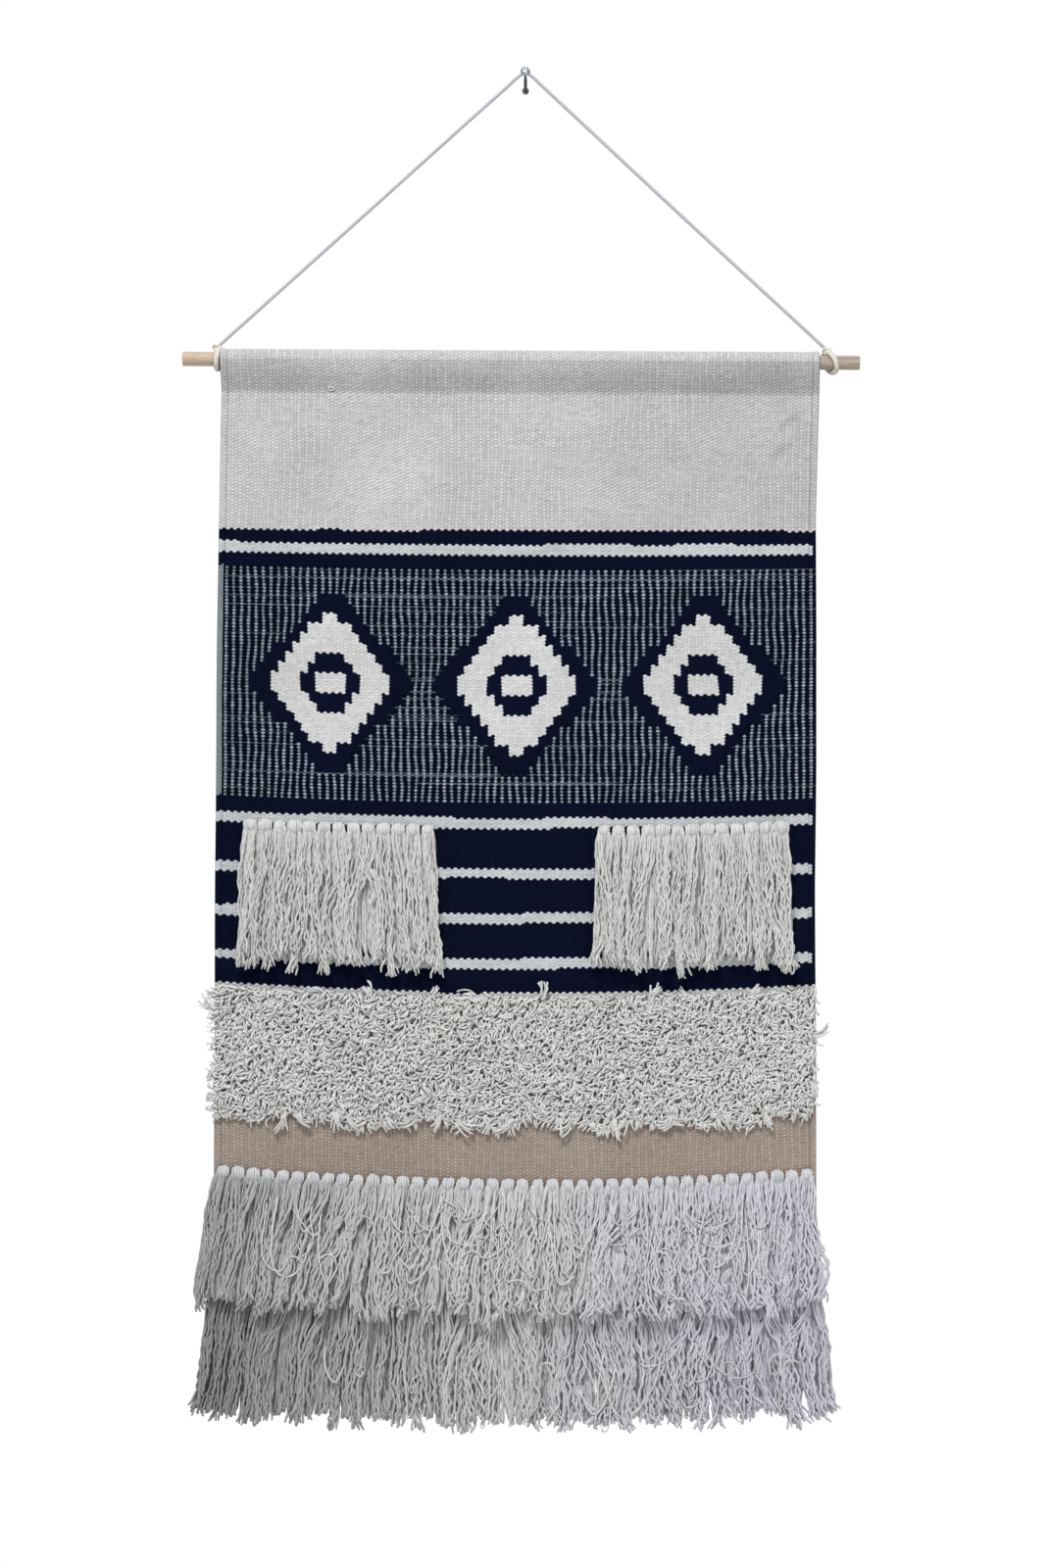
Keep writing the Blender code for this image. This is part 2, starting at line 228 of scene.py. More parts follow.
# %% The loops round the dowel
DOWEL_RADIUS = 0.006
DOWEL_TILT = math.radians(0.33)
DOWEL_CENTRE = Vector((-0.0037, -0.021, -0.2300))
LOOP_REACH = 0.0084
LOOP_RADIUS = 0.0023
LOOP_STEPS = 96
LOOP_SIDES = 10
TIE_SIZE = 0.00105
TIE_STEP = 0.0004


def dowel_height(x):
    """Height of the dowel's axis at x."""
    return DOWEL_CENTRE.z - math.tan(DOWEL_TILT) * (x - DOWEL_CENTRE.x)


def make_loop(name, middle, slant, lean, walk, tied_at):
    """One turn of cord round the dowel that passes its own start, and the knot that ties it.

    slant and lean tilt the turn, and it ends walk farther along the dowel than it starts."""
    angle = np.linspace(math.radians(100), math.radians(455), LOOP_STEPS)[::-1]
    x = middle + slant * np.cos(angle) + lean * np.sin(angle)
    x = x + walk * (angle - angle[0]) / (angle[-1] - angle[0])
    ring = np.stack([x, DOWEL_CENTRE.y - LOOP_REACH * np.cos(angle),
                     dowel_height(x) + LOOP_REACH * np.sin(angle)], axis=1)
    spacing = LOOP_REACH * (angle[1] - angle[0])
    t = np.linspace(0, 2 * math.pi, LOOP_STEPS)
    tie = np.stack([np.sin(t) + 2 * np.sin(2 * t), -np.sin(3 * t) * 1.2,
                    np.cos(t) - 2 * np.cos(2 * t)], axis=1) * TIE_SIZE + np.array(tied_at)
    radii = np.concatenate([lobed(LOOP_STEPS, LOOP_SIDES, spacing, LOOP_RADIUS),
                            lobed(LOOP_STEPS, LOOP_SIDES, TIE_STEP, LOOP_RADIUS * 0.55)])
    piece = make_yarns(name + "_tied", np.stack([ring, tie]), radii, LOOP_SIDES)
    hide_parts(name)
    return piece


loops = [make_loop("cord_loop_left", -0.2566, -0.0012, 0.0006, -0.0018, (-0.2584, -0.0207, -0.2192)),
         make_loop("cord_loop_right", 0.2550, 0.0041, -0.0031, 0.0, (0.2526, -0.0209, -0.2222))]

# %% [markdown]
# ## Sums on sockets
# A node material is a small sum written with wires. This class lets the sums be written as Python
# sums: each + or * on a value adds its Math node, so the weave below reads like the rule it follows.
# Look holds a material and has one method for every other node.

# %% Value and Look
def method(operation, reflected=False):
    """A method of Value that adds one Math node."""
    if reflected:
        return lambda self, other: self.math(operation, other, self)
    return lambda self, *others: self.math(operation, self, *others)


class Value:
    """A number socket that adds Math nodes when it is used in a sum."""

    def __init__(self, look, socket):
        self.look, self.socket = look, socket

    def math(self, operation, *numbers):
        return self.look.node("Math", {"operation": operation}, dict(enumerate(numbers)))

    __add__, __radd__ = method("ADD"), method("ADD", reflected=True)
    __sub__, __rsub__ = method("SUBTRACT"), method("SUBTRACT", reflected=True)
    __mul__, __rmul__ = method("MULTIPLY"), method("MULTIPLY", reflected=True)
    __truediv__, __abs__ = method("DIVIDE"), method("ABSOLUTE")
    __gt__, __lt__ = method("GREATER_THAN"), method("LESS_THAN")
    floor, part, cos = method("FLOOR"), method("FRACT"), method("COSINE")
    least, most = method("MINIMUM"), method("MAXIMUM")

    def within(self, low, high):
        """1 between low and high, else 0."""
        return (self > low) * (self < high)

    def clamp(self, highest=1.0):
        """Held between 0 and the highest."""
        return self.most(0.0).least(highest)


class Look:
    """A node material. Uniform numbers go straight onto the shader's own sockets."""

    def __init__(self, name, uniform):
        self.material = bpy.data.materials.new(name)
        self.material.use_nodes = True
        self.tree = self.material.node_tree
        self.shader = self.tree.nodes["Principled BSDF"]
        for title, amount in uniform.items():
            self.shader.inputs[title].default_value = amount

    def join(self, value, socket):
        """Set a socket to a number or a colour, or wire another socket to it."""
        if isinstance(value, Value):
            self.tree.links.new(value.socket, socket)
        elif hasattr(value, "__len__") and socket.type == "RGBA":
            socket.default_value = (*value[:3], 1.0)
        else:
            socket.default_value = value

    def node(self, kind, settings=None, sockets=None, out=0):
        """Any node: its type, its settings, then the values or links of its sockets."""
        made = self.tree.nodes.new("ShaderNode" + kind)
        for title, setting in (settings or {}).items():
            setattr(made, title, setting)
        for title, value in (sockets or {}).items():
            self.join(value, made.inputs[title])
        return Value(self, made.outputs[out])

    def mixed(self, share, one, other):
        """The first colour where share is 0, the other where it is 1."""
        return self.node("Mix", {"data_type": "RGBA"}, {0: share, 6: one, 7: other}, out=2)

    def shaded(self, colour, brightness):
        """A colour times a number."""
        grey = self.node("CombineXYZ", None, {0: brightness, 1: brightness, 2: brightness})
        return self.node("Mix", {"data_type": "RGBA", "blend_type": "MULTIPLY"},
                         {0: 1.0, 6: colour, 7: grey}, out=2)

    def noise(self, where, scale=1.0, detail=2.0, roughness=0.5):
        """Smooth noise round 0.5, at a vector or at numbers that make one."""
        if isinstance(where, tuple):
            where = self.point(*where)
        return self.node("TexNoise", None, {"Vector": where, "Scale": scale, "Detail": detail,
                                            "Roughness": roughness})

    def split(self, vector):
        """The three numbers of a vector."""
        first = self.node("SeparateXYZ", None, {0: vector})
        return [Value(self, socket) for socket in first.socket.node.outputs]

    def place(self, title):
        """The two numbers of a UV map."""
        return self.split(self.node("UVMap", {"uv_map": title}))[:2]

    def position(self):
        """A point's place in its object, in metres."""
        return self.node("TexCoord", out=3)

    def point(self, x, y, z=0.0):
        """A vector from three numbers."""
        return self.node("CombineXYZ", None, {0: x, 1: y, 2: z})

    def finish(self, colour, height=None, roughness=None):
        """Wire the colour, the relief in metres and the roughness to the shader."""
        self.join(colour, self.shader.inputs["Base Color"])
        if roughness is not None:
            self.join(roughness, self.shader.inputs["Roughness"])
        if height is not None:
            bump = self.node("Bump", None, {"Height": height, "Distance": 1.0, "Strength": 1.0})
            self.join(bump, self.shader.inputs["Normal"])
        return self.material


print("value and look are ready")

# %% [markdown]
# ## Cotton yarn
# The fringe is loose cotton yarn of two plies. Each yarn of a real hank is a little lighter or darker
# than the next, its plies show as a slanting groove with painted shade in it, and fine fuzz breaks up its
# colour. Cotton hardly shines, so the roughness is high and the gloss low. One material for each yarn
# would be slow; here the yarn's number comes from the "yarn" map, and white noise turns that number into
# its own tone. In the two tiers, painted shade darkens the left end and a painted cool light tints the
# right end bluish.

# %% Yarn colours
def shown(red, green, blue):
    """A colour given in display numbers, 0 to 255, as the linear numbers that the shader takes."""
    return tuple(((n / 255 + 0.055) / 1.055) ** 2.4 if n > 10 else n / 255 / 12.92
                 for n in (red, green, blue))


def tinted(colour, by):
    """A colour with each of its numbers times one of by."""
    return tuple(n * share for n, share in zip(colour, by))


COTTON = shown(229, 229, 229)
COTTON_LIGHT = shown(236, 236, 235)
WARMER = (1.0, 0.99, 0.965)
PAINTED_COOL_LIGHT = (0.965, 0.965, 1.05)


# %% Yarn finish
def cotton_yarn(name, light, spread=0.16, plies=2, pitch=0.0075, groove=0.00016, fuzz=0.16,
                row=None, grey=0.0):
    """Plied cotton whose yarns differ by spread, with a slanting groove between the plies that is bumped
    and darkened by painted shade.

    Where row gives the number of yarns in a fringe, painted shade darkens its left end and a painted cool
    light tints its right end bluish."""
    look = Look(name, {"Roughness": 0.95, "Specular IOR Level": 0.12})
    count, along = look.place("yarn")
    number, around = count.floor(), count.part()
    chance = look.node("TexWhiteNoise", {"noise_dimensions": "1D"}, {"W": number + 0.5})
    twist = around * plies + along / pitch + chance * 7.0
    ply = twist.part() * 2.0 - 1.0
    crown = 1.0 - ply * ply
    fibre = look.noise((number * 3.7 + around * 2.0, along * 260.0), detail=3.0)
    patchy = look.noise((number * 5.1, along * 22.0), detail=1.0)
    tone = 1.0 - spread * chance * chance
    # painted shade: the groove between the plies is darker, besides its bump
    tone = tone * (0.88 + 0.12 * crown) * (1.0 - fuzz / 2 + fuzz * fibre) * (0.93 + 0.14 * patchy)
    colour = look.mixed(patchy, light, tinted(light, WARMER))
    # painted shade darkens a fringe's yarns towards its left end, and a painted cool light tints its right
    # end bluish
    if row:
        place = number / row
        tone = tone * (1.0 - grey * ((0.48 - place) * 2.1).most(0.0))
        colour = look.mixed(((place - 0.42) * 1.9).clamp(), colour, tinted(light, PAINTED_COOL_LIGHT))
    return look.finish(look.shaded(colour, tone), crown * groove + fibre * 0.00008)


KNOTS = 40                  # in each tier at the foot
PATCH_KNOTS = 13
BACK_YARNS = 6              # of each knot, side by side against the cloth
LOCKS = 2                   # of each knot, in front of them
TIER_LOCK = 8               # yarns in a lock of the tiers
PATCH_LOCK = 10
TIER_YARNS = KNOTS * (BACK_YARNS + LOCKS * TIER_LOCK)
yarn_look = cotton_yarn("yarn_cotton", COTTON)
upper_look = cotton_yarn("yarn_upper_tier", shown(225, 224, 225), row=TIER_YARNS, grey=0.34)
lower_look = cotton_yarn("yarn_lower_tier", shown(217, 217, 219), row=TIER_YARNS, grey=0.50)
stray_look = cotton_yarn("yarn_single_ends", shown(229, 229, 231), spread=0.08)
knot_look = cotton_yarn("knot_cotton", shown(216, 218, 222), spread=0.08, groove=0.00010)
pile_look = cotton_yarn("pile_cotton", COTTON_LIGHT, spread=0.10, groove=0.00008, fuzz=0.26)
# painted shade: the cord's run is greyer and bluer than the loops of the same cord
cord_shaded_look = cotton_yarn("cord_cotton", shown(204, 205, 212), spread=0.05, plies=3, groove=0.00005)
loop_look = cotton_yarn("loop_cotton", shown(236, 232, 220), spread=0.03, plies=3, groove=0.00003)
cord.data.materials.append(cord_shaded_look)
for loop in loops:
    loop.data.materials.append(loop_look)
print("yarn finishes:", yarn_look.name, upper_look.name, lower_look.name, knot_look.name)

# %% [markdown]
# ## The cloth's shape
# The cloth is one strip. It starts behind the dowel, goes over it and down the front, and a seam
# 35 mm down closes the pocket. Weft-faced cloth is all ribs: each warp lifts the weft into a rounded
# ridge. Cloth simulation could drape a plane over the dowel, but a heavy cloth on a taut cord hardly
# drapes, and its ribs are finer than a simulated grid. So the section is worked out as a line and swept
# across the width. The front takes four points to a warp, so the ribs are real and catch the light,
# and the back takes one and leaves its ribs to the finish. The two selvedges are thick round cords.
# The weft rows also sag in the middle, and the cloth stands out of its plane in one long soft ripple.

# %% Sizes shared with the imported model
GAP = 0.0003                # between the front and the flap behind it
LAYER_GAP = 0.0006          # between the cloth's face and what lies on it
CLOTH_THICK = 0.0022
POCKET_CLEAR = 0.0005
TOP = DOWEL_RADIUS + POCKET_CLEAR + CLOTH_THICK
FACE_OUT = GAP / 2 + CLOTH_THICK
SEAM_DEPTH = 0.035          # depths are counted down from the pocket's top
FLAP_END = 0.044
PATCH_DEPTH = 0.392
UPPER_DEPTH = 0.683
LOWER_DEPTH = 0.762
CLOTH_END = 0.776
RIPPLE, RIPPLE_LENGTH = 0.0011, 0.21
SAG = 0.0105                # of the middle of the upper tier's row
DEPTHS = (0.000, 0.037, 0.140, 0.243, 0.345, 0.448, 0.673)
LEFT_EDGE = (-0.2558, -0.2545, -0.2567, -0.2583, -0.2591, -0.2600, -0.2608)
RIGHT_EDGE = (0.2460, 0.2460, 0.2430, 0.2437, 0.2435, 0.2425, 0.2435)


def ripple(share, depth):
    """How far the cloth stands out of its plane."""
    strength = np.clip((depth - SEAM_DEPTH) / 0.055, 0, 1)
    return RIPPLE * strength * np.sin(2 * math.pi * (1.5 * share + depth / RIPPLE_LENGTH))


def sag(share, depth):
    """How far a weft row hangs below a straight line between its selvedges."""
    below = np.maximum(0, depth - SEAM_DEPTH) / (UPPER_DEPTH - SEAM_DEPTH)
    return SAG * below * (1 - (2 * share - 1) ** 2)


def across(share, depth):
    """The x of a share of the cloth's width."""
    left = np.interp(depth, DEPTHS, LEFT_EDGE)
    return left + share * (np.interp(depth, DEPTHS, RIGHT_EDGE) - left)


def off_face(x, share, depth, drop, out):
    """Points off the cloth's face: drop below the row at that depth, and out into the room."""
    y = DOWEL_CENTRE.y - FACE_OUT - ripple(share, depth + drop) - LAYER_GAP - out
    z = dowel_height(x) + TOP - depth - sag(share, depth) - drop
    return np.stack(np.broadcast_arrays(x, y, z), axis=-1)


# %% The cloth's section
WIDTH = 0.500
WARPS = 164
WARP = WIDTH / WARPS
BEAD = 0.00275              # two rows of weft
LEAN = 0.014                # the pocket's front leans in ever more for this far


def section():
    """The cloth's middle line as (out, up) from the dowel's axis, and its run from the seam.

    The pocket hugs the dowel, then leans in ever more and runs straight to the seam."""
    reach = DOWEL_RADIUS + POCKET_CLEAR + CLOTH_THICK / 2
    beside = (GAP + CLOTH_THICK) / 2
    seam = TOP - SEAM_DEPTH
    front = math.atan2(seam, beside) + math.acos(reach / math.hypot(beside, seam))
    over = [(reach * math.cos(a), reach * math.sin(a)) for a in np.linspace(math.pi - front, 0, 14)]
    start = np.array([-beside, seam])
    inward = (reach - beside) / (-seam - LEAN / 2)
    line = [(-beside, TOP - FLAP_END), (-beside, TOP - FLAP_END + 0.004)]
    line += [start * (1 - t) + np.array(over[0]) * t for t in (0, 0.08, 0.35, 0.7)]
    line += over
    for below in np.linspace(0, -seam, 12)[1:]:
        fall = below ** 2 / (2 * LEAN) if below < LEAN else below - LEAN / 2
        line.append((reach - inward * fall, -below))
    front_rows = list(np.arange(SEAM_DEPTH + 0.0035, 0.536, 0.0090))
    front_rows += [0.548, 0.572, 0.600, 0.630, 0.644, 0.656, 0.668, 0.680, 0.700, 0.726, 0.752, CLOTH_END]
    line += [(beside, TOP - depth) for depth in front_rows]
    line = np.array(line)
    run = np.concatenate([[0], np.cumsum(np.linalg.norm(np.diff(line, axis=0), axis=1))])
    seam_row = len(line) - len(front_rows) - 1
    return line, run - run[seam_row] + SEAM_DEPTH


section_line, section_run = section()
print(f"cloth: {section_run[-1] - section_run[0]:.3f} m long, {len(section_line)} rows")


# %% Half the cloth's thickness across its width
CROWN, VALLEY = 0.0014, 0.0008
SELVEDGE = 1.75 * WARP


def half_thickness(place, valley):
    """Ribs between the two round selvedge cords, at a place across the cloth in metres."""
    rib = valley + (CROWN - valley) * np.sin(math.pi * place / WARP) ** 2
    edge = np.minimum(place, WIDTH - place) / SELVEDGE
    cord_edge = 0.0004 + 0.0015 * np.sqrt(np.clip(1 - (2 * edge - 1) ** 2, 0, 1))
    return np.where(edge <= 1, cord_edge, rib)


# %% The cloth's points
WANDER = ((0.0007, 0.11, 3.1), (0.00045, 0.043, 9), (0.0003, 0.027, -17))   # size, length, turns


def cloth_grid(columns, side):
    """The points of the front, side 1, or the back, side -1, whose warps wander a little sideways."""
    tangent = unit(np.gradient(section_line, axis=0))
    outward = np.stack([-tangent[:, 1], tangent[:, 0]], axis=1)
    place = np.linspace(0, WIDTH, columns)
    share = place / WIDTH
    half = half_thickness(place, VALLEY if side > 0 else CROWN) * side
    out = section_line[:, :1] + outward[:, :1] * half
    up = section_line[:, 1:] + outward[:, 1:] * half
    depth = TOP - up
    wander = sum(size * np.sin(2 * math.pi * (section_run[:, None] / length + turns * share))
                 for size, length, turns in WANDER)
    x = across(share, depth) + wander * np.clip(np.minimum(share, 1 - share) * 20, 0, 1)
    y = DOWEL_CENTRE.y - out - ripple(share, depth)
    z = dowel_height(x) + up - sag(share, depth)
    return np.stack([x, y, z], axis=2)


# %% The cloth's mesh
FRONT_PLACE = (0.006, 1.0)      # the left side of each part in the "OFBake" map, and its scale
BACK_PLACE = (0.612, 0.65)
LEFT_EDGE_PLACE, RIGHT_EDGE_PLACE = 0.0025, 0.595
MAP_START, MAP_LENGTH = 0.015, 0.97


def make_cloth():
    """The front and back grids, joined along both selvedges and both ends."""
    rows, fine, coarse = len(section_line), WARPS * 4 + 1, WARPS + 1
    points = np.vstack([cloth_grid(fine, 1).reshape(-1, 3), cloth_grid(coarse, -1).reshape(-1, 3)])
    faces, weave, bake = [], [], []
    scale = MAP_LENGTH / (section_run[-1] - section_run[0])
    edges = ((0, 0, 0.0, LEFT_EDGE_PLACE),
             (fine - 1, coarse - 1, WIDTH, RIGHT_EDGE_PLACE - WIDTH * scale))

    def add(corners, places, left, narrow, keep=True):
        """A face with its place in both maps, turned over unless it is to keep its side."""
        if not keep:
            corners, places = corners[::-1], places[::-1]
        faces.append(corners)
        weave.extend(places)
        bake.extend((left + u * scale * narrow, MAP_START + (v - section_run[0]) * scale * narrow)
                    for u, v in places)

    for row in range(rows - 1):
        v, w = section_run[row], section_run[row + 1]
        for k in range(fine - 1):
            a = row * fine + k
            u, t = k * WARP / 4, (k + 1) * WARP / 4
            add((a, a + fine, a + fine + 1, a + 1), ((u, v), (u, w), (t, w), (t, v)), *FRONT_PLACE)
        for k in range(coarse - 1):
            a = rows * fine + row * coarse + k
            u, t = k * WARP, (k + 1) * WARP
            add((a + 1, a + coarse + 1, a + coarse, a), ((t, v), (t, w), (u, w), (u, v)), *BACK_PLACE)
        for k, other, edge, left in edges:
            a, c = row * fine + k, rows * fine + row * coarse + other
            near = ((edge, v), (edge + 0.001, v), (edge + 0.001, w), (edge, w))
            add((a, c, c + coarse, a + fine), near, left, 1.0, keep=k == 0)
    for row, beyond in ((0, section_run[0] - 0.004), (rows - 1, section_run[-1] + 0.003)):
        v = section_run[row]
        for k in range(coarse - 1):
            a, c = row * fine + 4 * k, rows * fine + row * coarse + k
            u = k * WARP
            near = [(u + WARP * quarter / 4, v) for quarter in range(5)] + [(u + WARP, beyond), (u, beyond)]
            add((a, a + 1, a + 2, a + 3, a + 4, c + 1, c), near, *FRONT_PLACE, keep=row == 0)
    return make_mesh("cloth_woven", points.tolist(), faces, {"weave": weave, "OFBake": bake})


cloth = make_cloth()
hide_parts("cloth")


# %% [markdown]
# ## The sewn seam
# The pocket is closed by hand with one thread: a short stitch on the face, a long one behind. A line of
# bump would do from the front, but the seam is also seen from behind, so each stitch is a small arch of
# yarn that dips into the cloth at both ends. A slub, a thick place in a weft, sits beside the seam.

# %% The stitches
STITCH_PITCH = 0.0108       # as a share of the width
STITCH_RADIUS = 0.00042
SLUB_X, SLUB_SHARE = -0.163, 0.19
SLUB_RADIUS = 0.00085


def make_stitches(name, seed):
    """The stitches that close the pocket, short on the face and long behind, with a slub at the left."""
    rng = np.random.default_rng(seed)
    t = np.linspace(0, 1, 7)[None]
    lines = []
    for first, reach, side in ((0.0100, 0.0019, -1), (0.0154, 0.0042, 1)):
        share = np.arange(first, 0.990, STITCH_PITCH)[:, None]
        share = share + rng.normal(0, 0.0003, share.shape)
        x = across(share, SEAM_DEPTH) + reach * (t - 0.5)
        out = FACE_OUT - 0.0006 + 0.0010 * np.sin(math.pi * t) ** 0.5
        y = DOWEL_CENTRE.y + side * out + 0 * x
        z = dowel_height(x) + TOP - SEAM_DEPTH - 0.0004 + rng.normal(0, 0.0002, share.shape)
        lines.append(np.stack([x, y, z], axis=2))
    turn = rng.uniform(0, 6, (5, 1)) + rng.uniform(3, 6, (5, 1)) * t
    slub_x = SLUB_X + 0.0026 * np.cos(turn) + rng.normal(0, 0.0010, (5, 1))
    slub = off_face(slub_x, SLUB_SHARE, SEAM_DEPTH, 0.0014 * np.sin(turn) - 0.0016,
                    0.0006 + 0.0009 * np.sin(turn * 0.7))
    lines = np.concatenate(lines)
    thick = np.repeat([STITCH_RADIUS, SLUB_RADIUS], [len(lines), len(slub)])
    return make_yarns(name, np.concatenate([lines, slub]), thick[:, None, None], 4)


stitches = make_stitches("seam_stitches", 8)

# %% [markdown]
# ## The weave
# In weft-faced cloth every crossing shows as one bead of weft. Beads of neighbouring warps are
# staggered by half a bead, which is why a stripe's edge is scalloped and a slanting edge is stepped.
# So the material first works out which bead a point is in, and then asks what colour the weaver used
# at that bead's middle. The pinstripe comes from two wefts taken in turn: one lands on the even warps,
# the other on the odd ones. The pattern is a plain one: navy bands with white stripes, and a row of
# stepped lozenges such as flat weaves everywhere have.

# %% Cloth colours
CREAM = shown(210, 210, 209)
WHITE_WEFT = shown(198, 200, 203)
NAVY = shown(11, 17, 40)
FIELD_NAVY = shown(5, 13, 27)
PALE_WEFT = shown(154, 169, 184)
PALE_DYED = shown(151, 160, 181)
SELVEDGE_WEFT = shown(134, 146, 150)
TAN = shown(170, 156, 145)

# %% Places of the pattern
NAVY_BANDS = (0.1500, 0.5300)
STRIPE = 3 * BEAD
STRIPES = (0.1615, 0.3865, 0.4280, 0.4650, 0.5020)
FIELD = (0.1810, 0.3730)
TAN_TOP = 0.6300
LOZENGE_MIDDLE = 0.277
LOZENGE_REPEAT = 0.157
LOZENGE_SIZES = (10.6, 8.0, 3.4, 1.1)       # in steps from the middle: edge, ring, heart and eye
LOZENGE_COLOURS = (NAVY, CREAM, NAVY, CREAM)
LOZENGE_MARGIN = 0.012


# %% Which bead a point is in
def bead_at(look):
    """A point's warp and bead, their middle as x and y, its place in the bead, and chance and grain."""
    at = SimpleNamespace()
    at.u, at.v = look.place("weave")
    warps, beads = at.u / WARP, at.v / BEAD
    warps = warps + 0.16 * (warps * math.pi).cos() * ((beads - 0.5) * 2 * math.pi).cos()
    at.warp = warps.floor()
    at.odd = (at.warp * 0.5).part() * 2.0
    beads = beads + at.odd * 0.5
    at.bead = beads.floor()
    at.x = (at.warp + 0.5) * WARP
    at.y = (at.bead + 0.5 - at.odd * 0.5) * BEAD
    at.across, at.down = warps.part() - 0.5, beads.part() - 0.5
    cell = look.point(at.warp, at.bead)
    at.chance = look.node("TexWhiteNoise", {"noise_dimensions": "2D"}, {"Vector": cell})
    at.streak = look.noise((at.u * 30.0, at.v * 700.0), detail=3.0)
    at.cloudy = look.noise((at.u * 14.0, at.v * 14.0), detail=3.0)
    at.speck = look.noise((at.u * 420.0, at.v * 620.0), detail=3.0, roughness=0.6)
    return at


# %% What the weaver made there
def pattern_at(look, at):
    """Masks for the bands, the stripes, the pinstriped field, the lozenges, and all that is light."""
    made = SimpleNamespace()
    row = at.y + (look.noise((at.x * 8.0, at.y * 30.0), detail=1.0) - 0.5) * 2.2 * BEAD
    stripe = 0.0
    for top in STRIPES:
        stripe = row.within(top, top + STRIPE) + stripe
    made.stripe = stripe * (at.x < WIDTH - 1.4 * WARP)
    made.navy = row.within(*NAVY_BANDS)
    made.field = at.y.within(*FIELD)
    fold = abs((((at.x - WIDTH / 2) / LOZENGE_REPEAT) + 0.5).part() - 0.5) * LOZENGE_REPEAT
    outside = at.x.within(LOZENGE_MARGIN, WIDTH - LOZENGE_MARGIN) < 0.5
    steps = (fold / (2 * WARP)).floor() + outside * 99.0
    steps = steps + (abs(at.y - LOZENGE_MIDDLE) / (3 * BEAD)).floor() * 1.18
    made.lozenge = [made.field * (steps < size) for size in LOZENGE_SIZES]
    made.light = (1.0 - made.navy).most(made.stripe).most(made.lozenge[1])
    return made


# %% The colour of the weft
def weft_colour(look, at, made):
    """One colour laid over another, with the pinstripe's unevenly dyed beads among them, rubbed at random
    and darkened towards their ends by painted shade.
    """
    picks = look.noise((at.u * 7.0, at.v * 1100.0), roughness=0.6)
    long_picks = look.noise((at.u * 2.2, at.v * 640.0 + 9.0), detail=1.0)
    narrow = abs(at.across) < 0.285 + 0.11 * at.chance - 0.7 * at.down * at.down
    # the pale beads are rubbed at random, and painted shade darkens each towards its ends
    worn_and_shaded = (1.05 - 2.4 * at.down * at.down) * (0.45 + 0.75 * picks) * (0.70 + 0.45 * at.chance)
    dye = look.noise((at.u * 9.0, at.v * 9.0 + 4.0), detail=1.0)
    pale = look.shaded(look.mixed(dye, PALE_WEFT, PALE_DYED), worn_and_shaded)
    colour = CREAM
    for share, over in ((made.navy, NAVY), (made.field, FIELD_NAVY),
                        (made.field * (1.0 - at.odd) * narrow, pale),
                        (made.field * (long_picks > 0.66) * 0.34, PALE_WEFT),
                        *zip(made.lozenge, LOZENGE_COLOURS),
                        (made.stripe * (1.0 - made.field), WHITE_WEFT), (at.y > TAN_TOP, TAN),
                        (made.field * (at.u < 0.0046), SELVEDGE_WEFT)):
        colour = look.mixed(share, colour, over)
    return colour


# %% [markdown]
# ## Relief, wear and painted shade
# From close by, a bead is a rounded pad, and in places the weft's twist shows as fine slanting lines;
# their shade is painted into the colour besides their bump. Real hand-woven cloth is also creased.
# Painting that by hand would fit only one place, so three sizes of noise make it here: clouds, streaks
# along the weft and specks of fuzz. Painted shade darkens the pocket, most towards the seam, the right
# part of the cloth above the navy band, the groove beside each selvedge cord, two soft creases and many
# short slanting nicks; the two creases are also dented.

# %% Rounded beads and slanting twist, with painted shade
def bead_shade_and_height(look, at, made):
    """The painted shade of the beads' rounded shape and twist, as a brightness, and their height in metres.
    """
    crown = 1.0 - 4.0 * at.across * at.across
    rung = 1.0 - 4.0 * at.down * at.down
    slant = (at.down + at.across * 0.5 + 0.5).part() - 0.5
    twist = 1.0 - 4.0 * slant * slant
    area = look.noise((at.u * 11.0, at.v * 11.0 + 2.0))
    area = ((area - 0.42) * 5.0).clamp() * (1.0 - 0.8 * (at.y > TAN_TOP))
    relief = crown * (0.50 - 0.30 * area) + rung * (0.14 + 0.30 * at.odd) * (1.0 - area)
    relief = relief + twist * 0.72 * area
    relief = relief + (1.0 - relief) * 0.55 * made.light * made.navy
    height = crown * 0.00010 + rung * (0.00010 + 0.00022 * at.odd)
    height = height + at.streak * 0.00026 + at.chance * 0.00013 + at.speck * 0.00020
    # painted shade: the beads' sides and ends and the twist's grooves are darkened in the colour, besides
    # the bump
    return 0.58 + 0.54 * relief.least(1.0), height


# %% Painted shade on the pocket and the right side, nicks, grooves and creases
POCKET_TOP = 0.008          # the run down the cloth where it leaves the dowel's top
CREASES = ((0.478, 0.059), (0.471, 0.084))
CREASE_SIZE = (0.015, 0.0065)
GROOVE_AT = 1.8             # warps in from each side, beside the selvedge cord


def turned(x, y, run, rise):
    """Distances along and across a line that slants."""
    return x * run - y * rise, x * rise + y * run


